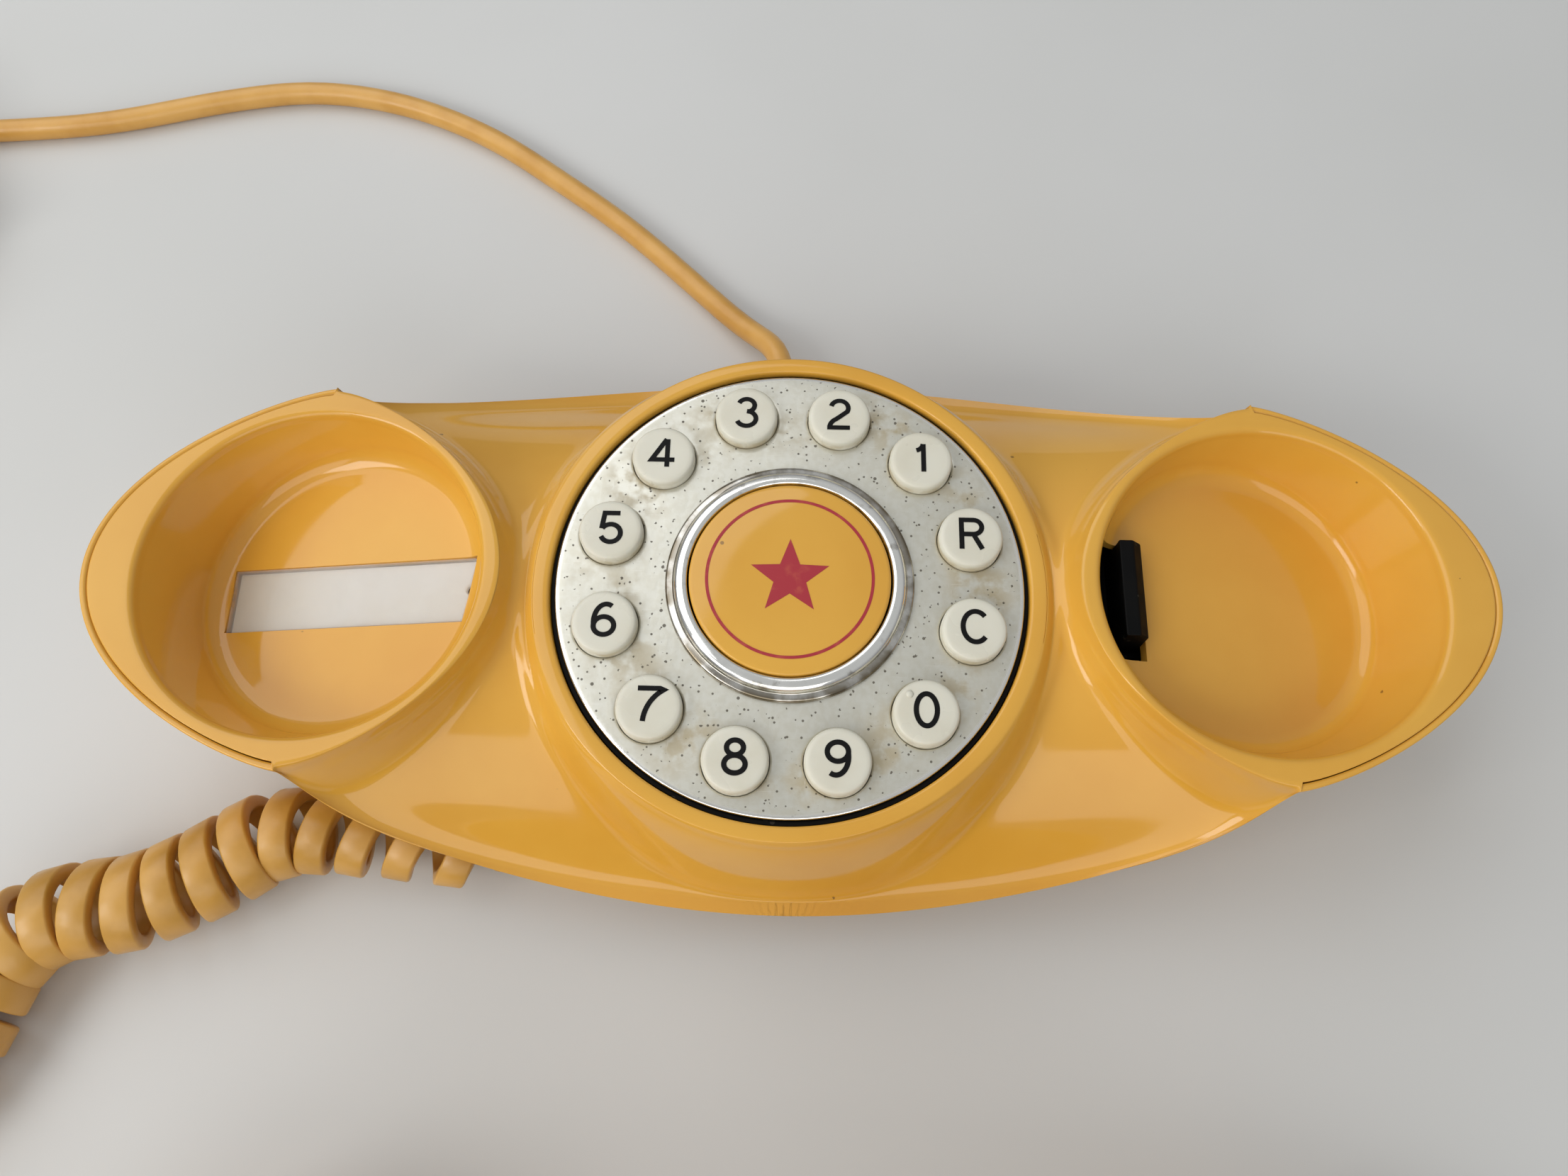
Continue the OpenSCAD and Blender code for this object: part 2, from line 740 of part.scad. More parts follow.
bracket_w = 11;
bracket_t = 1.6;
bracket_leg = 2;
module hook_bracket() {
    long = hook_len + 12;
    top = hook_neck_z - 0.4;
    color(soft_black)
        translate([hook_mid_x, hook_y, rim_h])
            difference() {
                translate([-bracket_w / 2, -long / 2, bracket_z - bracket_t])
                    cube([bracket_w, long, top - bracket_z + bracket_t]);
                translate([-bracket_w, -long / 2 + bracket_leg, bracket_z])
                    cube([2 * bracket_w, long - 2 * bracket_leg, top - bracket_z + 1]);
                translate([0, 0, bracket_z - bracket_t - 1])
                    cylinder(h = bracket_t + 2, d = hook_stem_d + 0.6);
            }
}

switch_w = 6;
switch_h = 6;
module hook_switch() {
    top = bracket_z - bracket_t;
    switch_out = switch_w + hook_stem_d / 2 + hook_travel + 0.6;
    color([0.15, 0.15, 0.17])
        translate([hook_mid_x - switch_out, hook_y - 5, rim_h + top - switch_h]) {
            cube([switch_w, 10, switch_h]);
            for (y = [2, 8])
                translate([switch_w / 2, y, -3])
                    cylinder(h = 3 + eps, d = 0.8);
        }
}

// ---------------------------------------------------------------- label

module label_card() {
    color("ivory")
        translate([0, 0, rim_h])
            on_label_floor()
                translate([2 * label_gap, -label_w / 2 + label_gap, -pocket_d])
                    cube([label_l - 2 * label_gap, label_w - 2 * label_gap, card_t]);
}
module label_window() {
    color([0.85, 0.88, 0.9, 0.5])
        translate([0, 0, rim_h])
            on_label_floor()
                difference() {
                    translate([label_gap, -label_w / 2, card_t - pocket_d])
                        cube([label_l, label_w, window_t]);
                    translate([label_gap + label_l, 0, -4])
                        cylinder(h = 8, d = 1.6);
                }
}

// ---------------------------------------------------------------- inside the lower shell

module main_board() {
    color([0.2, 0.42, 0.24])
        translate([0, 0, rim_h + board_z])
            translate([-board_l / 2, -board_w / 2, 0])
                cube([board_l, board_w, board_t]);
}
part_h = ringer_h - 1;
module board_parts() {
    top = rim_h + board_z + board_t;
    color([0.16, 0.16, 0.18]) {
        for (x = [-0.39, -0.19])
            translate([x * board_l, 0.3 * board_w, top])
                cylinder(h = part_h, d = 0.08 * board_l);
        translate([0.2 * board_l, 0.22 * board_w, top])
            cube([0.22 * board_l, 0.15 * board_w, 0.6 * part_h]);
        translate([-0.42 * board_l, -0.09 * board_w, top])
            cube([0.13 * board_l, 0.22 * board_w, part_h]);
        translate([0.29 * board_l, -0.39 * board_w, top])
            cube([0.14 * board_l, 0.17 * board_w, part_h]);
    }
}
module ringer() {
    color([0.1, 0.1, 0.1])
        translate([0, -6, rim_h + board_z + board_t])
            difference() {
                cylinder(h = ringer_h, d = ringer_d);
                translate([0, 0, ringer_h - 1.5])
                    cylinder(h = 2, d = 3);
            }
}
module ballast_plate() {
    color([0.45, 0.46, 0.48])
        translate([-ballast_l / 2, -ballast_w / 2, rim_h + floor_top_z])
            cube([ballast_l, ballast_w, ballast_t]);
}
module cover_screws() {
    color("silver")
        at_bosses()
            translate([0, 0, rim_h + head_seat_z]) {
                translate([0, 0, -2])
                    cylinder(h = 2 - eps, d = screw_head_d);
                translate([0, 0, -1])
                    cylinder(h = boss_split_z + screw_bite - 1 - head_seat_z + 1, d = screw_d - 0.3);
            }
}
module feet() {
    color([0.12, 0.12, 0.12])
        at_feet()
            cylinder(h = foot_h + foot_seat - 0.05, d = foot_d);
}

// ---------------------------------------------------------------- cord exits

exit_z = 8;
line_hole_d = line_d + 1.8;
curl_hole_d = 6.4;
collar_step = 0.6;
line_exit = [3.2, seam_y(0) - 7.4, exit_z - rim_h];
line_heading = 110;
curl_exit = [-37, -36.2, exit_z - rim_h];
curl_heading = 196;
boss_out = 2.4;
boss_in = 4;

module along(place, heading) {
    translate(place)
        rotate([0, 0, heading])
            rotate([0, 90, 0])
                children();
}
module exit_boss(place, heading, d) {
    along(place, heading)
        translate([0, 0, -boss_in])
            cylinder(h = boss_in + boss_out, d = d);
}
module exit_hole(place, heading, d) {
    along(place, heading) {
        translate([0, 0, -boss_in - 1])
            cylinder(h = boss_in + boss_out + 2, d = d);
        translate([0, 0, boss_out])
            cylinder(h = line_relief_len, d = d + 2 * collar_step + 0.6);
    }
}
// Tapered sleeve that is pressed into its boss up to a collar
module relief(hole_d, cord_hole, tip_d, out_len) {
    sleeve_r = hole_d / 2 - 0.1;
    collar_z = boss_out + 0.3;
    rotate_extrude()
        polygon([[cord_hole / 2, -boss_in - 0.8], [sleeve_r, -boss_in - 0.8], [sleeve_r, collar_z],
            [hole_d / 2 + collar_step, collar_z], [hole_d / 2 + collar_step, collar_z + 1.5],
            [tip_d / 2, out_len], [cord_hole / 2, out_len]]);
}
line_relief_len = 14;
curl_relief_len = 12.5;
band_w = 5;
module line_relief() {
    color(body_yellow)
        translate([0, 0, rim_h])
            along(line_exit, line_heading)
                relief(line_hole_d, line_d - 0.6, line_d + 1.2, line_relief_len);
}
module curl_relief_base() {
    color(body_yellow)
        translate([0, 0, rim_h])
            along(curl_exit, curl_heading)
                relief(curl_hole_d, 3, band_w + 0.6, curl_relief_len);
}

// ---------------------------------------------------------------- cords

// Tube along a route, its sections upright across the heading
function heading_at(route, i) =
    let (a = route[max(0, i - 1)], b = route[min(len(route) - 1, i + 1)], d = b - a)
    d / norm(d);
function tube_ring(route, i, r, sides) =
    let (t = heading_at(route, i), flat = cross(t, [0, 0, 1]), side = flat / norm(flat), up = cross(side, t))
    [for (j = [0:sides - 1])
        let (a = 360 * (j + 0.5) / sides)
        route[i] + r * (cos(a) * side + sin(a) * up)];
module tube(route, radii, sides) {
    skin([for (i = [0:len(route) - 1]) tube_ring(route, i, radii[i], sides)]);
}

// Centre line of the line cord from its strain relief to the coil; heights are above the table
line_low = line_d / 2 + 0.05;
function sleeve_tip(place, heading, length) =
    [place[0] + length * cos(heading), place[1] + length * sin(heading), exit_z];
line_start = sleeve_tip(line_exit, line_heading, line_relief_len);
LINE_ROUTE = concat([line_start], [[-4, 61.5, 7], [-8, 66.5, 4.6], [-13, 71.5, 3],
    [-19, 77.5, line_low], [-30, 88, line_low], [-41, 97.5, line_low], [-53, 106.5, line_low],
    [-65, 115, line_low], [-77, 121.5, line_low], [-89, 126, line_low], [-101, 128.5, line_low],
    [-113, 129, line_low], [-124, 127.5, line_low], [-135, 125, line_low], [-146, 122, line_low],
    [-157, 119.5, line_low], [-168, 118, line_low], [-179, 117, line_low], [-190, 116.5, line_low],
    [-200, 117, line_low], [-210, 118, line_low]]);
coil_at = [-218, 86];

// Centre line of the curly cord from the body to the handset
curl_low = curl_d / 2 + 0.1;
curl_start = sleeve_tip(curl_exit, curl_heading, curl_relief_len);
handset_y = -131;
handset_x = 0;
curl_end = [handset_x - cup_x - tip_out - 14, handset_y, 12.5];
CURL_ROUTE = concat([curl_start], [[-53, -41, curl_low], [-62, -40.3, curl_low], [-72, -38.6, curl_low],
    [-81, -37.4, curl_low], [-89, -38.3, curl_low], [-96, -42.5, curl_low], [-103, -46.5, curl_low],
    [-111, -49.8, curl_low], [-119, -51.2, curl_low], [-126.5, -54, curl_low], [-132, -60.5, curl_low],
    [-135, -69, curl_low], [-139, -78, curl_low], [-146, -86, curl_low], [-156, -92, curl_low],
    [-167, -97, curl_low], [-177, -104, curl_low], [-183, -114, curl_low], [-184, -126, curl_low],
    [-179, -137, curl_low], [-169, -144, curl_low], [-157, -145, curl_low], [-147, -141.5, curl_low + 0.5],
    [-139, -135, curl_low + 2]], [curl_end - [5, 0, 0.4], curl_end]);
// The turns are pulled tighter toward the body, and at the handset's end
function curl_radius(i) = i == len(CURL_ROUTE) - 1 ? curl_d * 0.33 : curl_d / 2 * min(1, 0.58 + 0.11 * i);

// The cord's end leaves the coil's top, comes down beside its turns and runs into the plug
coil_out_r = coil_r + coil_w / 2;
tail_r = coil_out_r + line_d / 2 + 0.1;
tail_steps = 9;
tail_from = 100;
function tail_point(q) =
    let (
        a = mix(tail_from, 180, q),
        out = min(1, 2.5 * q),
        r = mix(coil_out_r - line_d / 2, tail_r, out * out * (3 - 2 * out))
    )
    [coil_at[0] + r * cos(a), coil_at[1] + r * sin(a), mix(coil_h - line_low, line_low, q * q * (3 - 2 * q))];
plug_nose = 12;
plug_top_y = coil_at[1] - 0.3 - sqrt(pow(coil_out_r, 2) - pow(tail_r - plug_w / 2 - 1, 2));
nose_end = [coil_at[0] - tail_r, plug_top_y + plug_nose, line_low];
TAIL_ROUTE = concat([for (i = [0:tail_steps]) tail_point(i / tail_steps)],
    [nose_end + [0, 6, 0], nose_end]);

module line_cord() {
    color(body_yellow)
        for (route = [LINE_ROUTE, TAIL_ROUTE])
            tube(route, [for (p = route) line_d / 2], 10);
}
module line_coil() {
    color(body_yellow)
        translate([coil_at[0], coil_at[1], 0])
            rotate_extrude($fn = fine)
                translate([coil_r - coil_w / 2, 0.05])
                    polygon([[1.5, 0], [coil_w - 1.5, 0], [coil_w, 1.5], [coil_w, coil_h - 3],
                        [coil_w - 3, coil_h], [3, coil_h], [0, coil_h - 3], [0, 1.5]]);
}
tie_t = 1.2;
tie_w = 5;
module coil_tie() {
    color([0.15, 0.15, 0.15])
        translate([coil_at[0] + coil_r, coil_at[1], 0])
            difference() {
                translate([-coil_w / 2 - tie_t, -tie_w / 2, 0.05])
                    cube([coil_w + 2 * tie_t, tie_w, coil_h + tie_t]);
                translate([-coil_w / 2 - 0.2, -tie_w, -1])
                    cube([coil_w + 0.4, 2 * tie_w, coil_h + 1.2]);
            }
}
plug_at = [nose_end[0], plug_top_y - plug_l / 2];
blade_l = 15;
blade_w = 18;
blade_t = 5;
module line_plug() {
    color([0.88, 0.86, 0.8])
        translate([plug_at[0], plug_at[1], 0.05]) {
            translate([-plug_w / 2, -plug_l / 2, 0])
                cube([plug_w, plug_l, plug_h]);
            translate([-blade_w / 2, -plug_l / 2 - blade_l, plug_h / 2 - blade_t / 2])
                cube([blade_w, blade_l + eps, blade_t]);
            translate([0, plug_l / 2 + plug_nose, line_low - 0.05])
                rotate([90, 0, 0])
                    cylinder(h = plug_nose + eps, r1 = line_d / 2, r2 = line_low + 1.2);
        }
}
module plug_contacts() {
    color([0.8, 0.65, 0.3])
        translate([plug_at[0], plug_at[1] - plug_l / 2, 0.05 + plug_h / 2])
            for (x = [-6, -2, 2, 6])
                for (up = [0, 1])
                    mirror([0, 0, up])
                        translate([x - 0.9, -blade_l + 2, blade_t / 2])
                            cube([1.8, blade_l - 2 - eps, 0.5]);
}
module curl_cord() {
    color(body_yellow)
        tube(CURL_ROUTE, [for (i = [0:len(CURL_ROUTE) - 1]) curl_radius(i)], 12);
}

// ---------------------------------------------------------------- handset

// Stands on its two caps; heights are counted from its rims, which rest on the cups' rims in use
handset_z = cap_h;
hand_stations = 44;
tip_t = 3.2;
function hand_s(x) = min(1, abs(x) / cup_x);
function hand_half(x) = abs(x) > cup_x
    ? max(0.6, lemon_y(abs(x) - cup_x, tip_out, corner_y))
    : mix(grip_w, corner_y, pow(hand_s(x), 3.2));
function hand_under(x) =
    let (reach = cup_x - ridge_in + 2)
    abs(x) > reach ? 0 : arch_h * pow(1 - pow(abs(x) / reach, 2), 0.8);
function hand_over(x) = abs(x) > cup_x
    ? tip_t + (pod_h - tip_t) * sqrt(max(0, 1 - pow((abs(x) - cup_x) / tip_out, 2)))
    : pod_h + (arch_h + grip_t - pod_h) * (1 - pow(hand_s(x), 2)) * (1 + 0.35 * pow(hand_s(x), 2));
// Height of the joint between the handset's shells
function hand_split(x) = mix(hand_under(x), hand_over(x), 0.3);
hand_round = 0.75;
// One slice of the handset across x, moved inward by t
function hand_slice(x, t) =
    let (
        w = hand_half(x) - t,
        mid = hand_split(x),
        up = hand_over(x) - t - mid,
        down = mid - hand_under(x) - t
    )
    [for (j = [23:-1:0])
        let (a = 15 * j)
        [x, w * pow(abs(cos(a)), hand_round) * sgn(cos(a)),
            mid + (sin(a) >= 0 ? up : down) * pow(abs(sin(a)), sin(a) >= 0 ? 0.85 : 0.55) * sgn(sin(a))]];
hand_tip = cup_x + tip_out;
module hand_body(t, stations) {
    half = hand_tip - (t > 0 ? t + 5 : 0.3);
    skin([for (i = [0:stations])
        let (x = half * sin(mix(-90, 90, i / stations)))
        hand_slice(x, t)]);
}
module hand_side(up, gap) {
    n = 40;
    rotate([90, 0, 0])
        linear_extrude(height = 3 * far, center = true)
            polygon(concat(
                [for (i = [0:n])
                    let (x = mix(-hand_tip - 1, hand_tip + 1, i / n))
                    [x, hand_split(x) + up * gap]],
                [[hand_tip + 1, up * 2 * far], [-hand_tip - 1, up * 2 * far]]));
}
module in_handset() {
    translate([handset_x, handset_y, handset_z])
        children();
}
pocket_r = cap_r + 0.3;
cap_seat_t = 2.2;
hand_boss_x = 40;
hand_boss_d = 6;
module handset_upper() {
    color(body_yellow)
        in_handset()
            difference() {
                intersection() {
                    hand_body(0, hand_stations);
                    hand_side(1, 0.1);
                }
                hand_body(wall, 30);
                hand_relief_hole();
            }
}
module handset_lower() {
    color(body_yellow)
        in_handset()
            difference() {
                union() {
                    difference() {
                        intersection() {
                            hand_body(0, hand_stations);
                            hand_side(-1, 0.1);
                        }
                        hand_body(wall, 30);
                    }
                    for (sx = [-1, 1])
                        translate([sx * cup_x, 0, 0])
                            cylinder(h = cap_seat_t, r = pocket_r + 1.5);
                }
                for (sx = [-1, 1]) {
                    translate([sx * cup_x, 0, -eps])
                        cylinder(h = 3 * wall, r = cap_r - 2);
                    translate([sx * cup_x, 0, -1])
                        cylinder(h = 1.6, r = pocket_r);
                }
                for (sx = [-1, 1])
                    translate([sx * hand_boss_x, 0, 0]) {
                        cylinder(h = 2 * far, d = screw_d + 0.3);
                        translate([0, 0, hand_under(hand_boss_x) - 3])
                            cylinder(h = 4.2, d = screw_head_d + 0.3);
                    }
                hand_relief_hole();
            }
}
hand_relief_z = 4.5;
hand_hole_d = 5;
module hand_relief_hole() {
    translate([-hand_tip - 2, 0, hand_relief_z])
        rotate([0, 90, 0])
            cylinder(h = 14, d = hand_hole_d);
}
module curl_relief_handset() {
    start = curl_end[0] + 0.3;
    tip = handset_x - hand_tip;
    reach = tip + 7;
    collar = hand_hole_d / 2 + 1;
    color(body_yellow)
        translate([0, handset_y, handset_z + hand_relief_z])
            rotate([0, 90, 0])
                rotate_extrude()
                    polygon([[1.3, start], [band_w / 2 + 0.2, start], [collar, tip - 3], [collar, tip - 0.6],
                        [hand_hole_d / 2 - 0.1, tip - 0.4], [hand_hole_d / 2 - 0.1, reach], [1.3, reach]]);
}

cap_wall = 2;
cap_hole_d = 2.2;
cap_hole_rings = 3;
module cap(rings) {
    translate([0, 0, -cap_h])
        difference() {
            rotate_extrude($fn = fine)
                polygon([[0, 0], [cap_r - 3, 0], [cap_r - 1.2, 0.5], [cap_r - 0.3, 1.6], [cap_r, 3],
                    [cap_r, cap_h + 0.4], [cap_r - cap_wall, cap_h + 0.4], [cap_r - cap_wall, 3],
                    [cap_r - 3.4, cap_wall], [0, cap_wall]]);
            translate([0, 0, -1])
                cylinder(h = cap_wall + 2, d = cap_hole_d, $fn = 24);
            for (ring = [1:rings])
                for (i = [0:6 * ring - 1])
                    rotate([0, 0, 60 * i / ring])
                        translate([4.5 * ring, 0, -1])
                            cylinder(h = cap_wall + 2, d = cap_hole_d, $fn = 24);
        }
}
module ear_cap() {
    color(body_yellow)
        in_handset()
            translate([cup_x, 0, 0])
                cap(cap_hole_rings);
}
module mouth_cap() {
    color(body_yellow)
        in_handset()
            translate([-cup_x, 0, 0])
                cap(cap_hole_rings - 1);
}
capsule_z = cap_wall - cap_h + 0.3;
module capsule() {
    translate([0, 0, capsule_z]) {
        cylinder(h = capsule_t, d = capsule_d);
        translate([0, 0, capsule_t - eps])
            cylinder(h = 1.5, d = capsule_d * 0.4);
    }
}
module receiver_capsule() {
    color([0.3, 0.3, 0.32])
        in_handset()
            translate([cup_x, 0, 0])
                capsule();
}
module microphone_capsule() {
    color([0.3, 0.3, 0.32])
        in_handset()
            translate([-cup_x, 0, 0])
                capsule();
}
module handset_board() {
    color([0.2, 0.42, 0.24])
        in_handset()
            translate([-cup_x - 10, -9, capsule_z + capsule_t + 1.8])
                cube([22, 18, board_t]);
}
module handset_screws() {
    color("silver")
        in_handset()
            for (sx = [-1, 1])
                translate([sx * hand_boss_x, 0, hand_under(hand_boss_x) + 1.2 + eps]) {
                    translate([0, 0, -2.2])
                        cylinder(h = 2.2, d = screw_head_d);
                    translate([0, 0, -eps])
                        cylinder(h = 6, d = screw_d - 0.2);
                }
}

top_cover();
bottom_shell();
dial_plate();
key_carrier();
centre_ring();
centre_disc();
for (i = [0:len(KEYS) - 1])
    key(i);
key_mat();
key_board();
key_board_screws();
hook_plunger();
hook_spring();
hook_bracket();
hook_switch();
label_window();
label_card();
main_board();
board_parts();
ringer();
ballast_plate();
cover_screws();
feet();
line_relief();
line_cord();
line_coil();
coil_tie();
line_plug();
plug_contacts();
curl_relief_base();
curl_cord();
curl_relief_handset();
handset_upper();
handset_lower();
ear_cap();
mouth_cap();
receiver_capsule();
microphone_capsule();
handset_board();
handset_screws();
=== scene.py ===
import math

import bmesh
import bpy
import numpy as np
from mathutils import Matrix


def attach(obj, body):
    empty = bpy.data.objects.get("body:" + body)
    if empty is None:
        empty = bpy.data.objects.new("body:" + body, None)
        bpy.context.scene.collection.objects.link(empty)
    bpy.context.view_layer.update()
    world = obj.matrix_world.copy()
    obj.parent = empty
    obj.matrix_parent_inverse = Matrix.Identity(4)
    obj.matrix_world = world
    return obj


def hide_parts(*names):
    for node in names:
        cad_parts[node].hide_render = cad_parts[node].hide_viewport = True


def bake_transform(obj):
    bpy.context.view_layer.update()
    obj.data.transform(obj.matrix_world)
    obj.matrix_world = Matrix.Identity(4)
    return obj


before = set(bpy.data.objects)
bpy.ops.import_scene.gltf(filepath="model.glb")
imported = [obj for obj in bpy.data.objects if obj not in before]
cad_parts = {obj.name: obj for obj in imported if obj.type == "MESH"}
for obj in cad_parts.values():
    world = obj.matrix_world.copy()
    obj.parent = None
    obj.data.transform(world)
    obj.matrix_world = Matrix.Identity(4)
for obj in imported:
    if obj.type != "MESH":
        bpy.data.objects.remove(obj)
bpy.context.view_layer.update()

# ---------------------------------------------------------------- camera, table and light
# The telephone stands on a plain pale table top. The camera looks down on it from close by, a little
# from the front, and a large soft window lights it from the front left.
scene = bpy.context.scene
scene.view_settings.view_transform = "Standard"
camera_data = bpy.data.cameras.new("camera")
camera_data.lens = 26.69
camera_data.sensor_width = 36.0
camera_data.clip_start = 0.01
camera = bpy.data.objects.new("camera", camera_data)
scene.collection.objects.link(camera)
camera_place = np.eye(4)
camera_place[:3, 0] = (0.999798, 0.0198607, 0.0029676)
camera_place[:3, 1] = (-0.0196954, 0.9409975, 0.3378398)
camera_place[:3, 2] = (0.0039172, -0.3378301, 0.9411990)
camera_place[:3, 3] = (-0.00018, -0.06429, 0.2139)
camera.matrix_world = Matrix(camera_place.tolist())
scene.camera = camera


def linear(red, green, blue):
    """Screen colour from 0 to 255 as the linear colour that a shader takes."""
    c = np.array([red, green, blue], float) / 255
    return (*np.where(c <= 0.04045, c / 12.92, ((c + 0.055) / 1.055) ** 2.4), 1.0)


def mesh_object(name, points, faces, smooth=True):
    """A mesh object at the origin from points in millimetres in the table frame."""
    mesh = bpy.data.meshes.new(name)
    mesh.from_pydata((np.asarray(points, float) * 0.001).tolist(), [], [tuple(f) for f in faces])
    mesh.polygons.foreach_set("use_smooth", np.full(len(mesh.polygons), smooth))
    mesh.update()
    thing = bpy.data.objects.new(name, mesh)
    scene.collection.objects.link(thing)
    return thing


def new_finish(name, colour, roughness=0.5, metallic=0.0, **sockets):
    """A material with one Principled shader; gives the material, its nodes, its links and the shader."""
    made = bpy.data.materials.new(name)
    made.use_nodes = True
    tree = made.node_tree
    bsdf = tree.nodes["Principled BSDF"]
    bsdf.inputs["Base Color"].default_value = colour
    bsdf.inputs["Roughness"].default_value = roughness
    bsdf.inputs["Metallic"].default_value = metallic
    for key, value in sockets.items():
        bsdf.inputs[key.replace("_", " ")].default_value = value
    return made, tree.nodes, tree.links, bsdf


def noise(n, l, vector, scale, detail=3.0):
    """Noise texture's value at a scale, which is a number or an output."""
    made = n.new("ShaderNodeTexNoise")
    made.inputs["Detail"].default_value = detail
    if isinstance(scale, (int, float)):
        made.inputs["Scale"].default_value = scale
    else:
        l.new(scale, made.inputs["Scale"])
    l.new(vector, made.inputs["Vector"])
    return made.outputs["Fac"]


def ramp(n, l, value, low, high, out_low=0.0, out_high=1.0):
    """Value between low and high spread over out_low to out_high, smoothly and held at both ends."""
    made = n.new("ShaderNodeMapRange")
    made.interpolation_type = "SMOOTHSTEP"
    for key, number in (("From Min", low), ("From Max", high), ("To Min", out_low), ("To Max", out_high)):
        made.inputs[key].default_value = number
    l.new(value, made.inputs["Value"])
    return made.outputs["Result"]


def arithmetic(n, l, kind, a, b):
    """Two values joined by a sum, product, power or the like; b may be a plain number."""
    made = n.new("ShaderNodeMath")
    made.operation = kind
    for socket, value in zip(made.inputs, (a, b)):
        if isinstance(value, (int, float)):
            socket.default_value = value
        else:
            l.new(value, socket)
    return made.outputs[0]


def blend_colour(n, l, amount, first, second, kind="MIX"):
    """Colour between first and second by amount; each may be a colour or an output."""
    made = n.new("ShaderNodeMix")
    made.data_type = "RGBA"
    made.blend_type = kind
    sockets = [made.inputs[0], made.inputs[6], made.inputs[7]]
    for socket, value in zip(sockets, (amount, first, second)):
        if isinstance(value, (int, float, tuple)):
            socket.default_value = value
        else:
            l.new(value, socket)
    return made.outputs[2]


def times(n, l, a, b):
    """Product of two values."""
    return arithmetic(n, l, "MULTIPLY", a, b)


def larger(n, l, a, b):
    """The larger of two values."""
    return arithmetic(n, l, "MAXIMUM", a, b)


def place_of(n):
    """Object coordinates output."""
    return n.new("ShaderNodeTexCoord").outputs["Object"]


def parts_of(n, l, vector):
    """The x, y and z outputs of a vector."""
    split = n.new("ShaderNodeSeparateXYZ")
    l.new(vector, split.inputs[0])
    return tuple(split.outputs)


def length_of(n, l, vector):
    """Length of a vector."""
    made = n.new("ShaderNodeVectorMath")
    made.operation = "LENGTH"
    l.new(vector, made.inputs[0])
    return made.outputs["Value"]


def seen_directly(n, l):
    """The camera's own rays, and those together with the rays that shiny and clear parts pass on."""
    ray = n.new("ShaderNodeLightPath")
    own = ray.outputs["Is Camera Ray"]
    passed_on = larger(n, l, ray.outputs["Is Glossy Ray"], ray.outputs["Is Transmission Ray"])
    return own, larger(n, l, own, passed_on)


backdrop_grey = (0.58, 0.58, 0.57, 1)
floor = mesh_object("floor", [(-3000, -3000, 0), (3000, -3000, 0), (3000, 3000, 0), (-3000, 3000, 0)],
                    [(0, 1, 2, 3)], smooth=False)
table_top, n, l, bsdf = new_finish("table_top", linear(212, 211, 208), 0.85)
tone = ramp(n, l, noise(n, l, place_of(n), 6, 4), 0.3, 0.7)
l.new(blend_colour(n, l, tone, linear(218, 218, 216), linear(212, 212, 209)), bsdf.inputs["Base Color"])
seen = seen_directly(n, l)[1]
far = ramp(n, l, length_of(n, l, place_of(n)), 0.30, 1.1)
paper_tone = n.new("ShaderNodeEmission")
paper_tone.inputs["Color"].default_value = backdrop_grey
mixed = n.new("ShaderNodeMixShader")
l.new(times(n, l, seen, far), mixed.inputs[0])
l.new(bsdf.outputs[0], mixed.inputs[1])
l.new(paper_tone.outputs[0], mixed.inputs[2])
l.new(mixed.outputs[0], n["Material Output"].inputs["Surface"])
floor.data.materials.append(table_top)

world = bpy.data.worlds.new("room")
world.use_nodes = True
n, l = world.node_tree.nodes, world.node_tree.links
room = n["Background"]
own_ray, seen = seen_directly(n, l)
height = ramp(n, l, parts_of(n, l, n.new("ShaderNodeTexCoord").outputs["Generated"])[2], -0.1, 0.75)
walls = blend_colour(n, l, height, (0.20, 0.20, 0.21, 1), (0.52, 0.53, 0.54, 1))
backdrop = blend_colour(n, l, own_ray, walls, backdrop_grey)
l.new(blend_colour(n, l, seen, (0.32, 0.33, 0.34, 1), backdrop), room.inputs["Color"])
scene.world = world


def unit(vectors):
    """A vector, or rows of vectors, each divided by its own length."""
    return vectors / np.linalg.norm(vectors, axis=-1, keepdims=True)


def soft_lamp(name, place, size, power, colour):
    """A rectangular soft lamp at a place in metres, turned toward the middle of the telephone."""
    data = bpy.data.lights.new(name, "AREA")
    data.shape = "RECTANGLE"
    data.size, data.size_y = size
    data.energy = power
    data.color = colour
    thing = bpy.data.objects.new(name, data)
    scene.collection.objects.link(thing)
    away = unit(np.array(place) - (0, 0, 0.03))
    side = unit(np.cross((0, 0, 1), away))
    turned = np.eye(4)
    turned[:3] = np.stack([side, np.cross(away, side), away, place], 1)
    thing.matrix_world = Matrix(turned.tolist())


soft_lamp("window", (-0.60, -0.36, 0.55), (0.42, 0.34), 2.2, (1.0, 0.985, 0.96))
soft_lamp("sky", (-0.62, 0.42, 0.9), (1.3, 1.0), 6.0, (0.97, 0.98, 1.0))
soft_lamp("front", (-0.1, -1.1, 0.75), (1.3, 0.75), 4.6, (1.0, 0.99, 0.97))


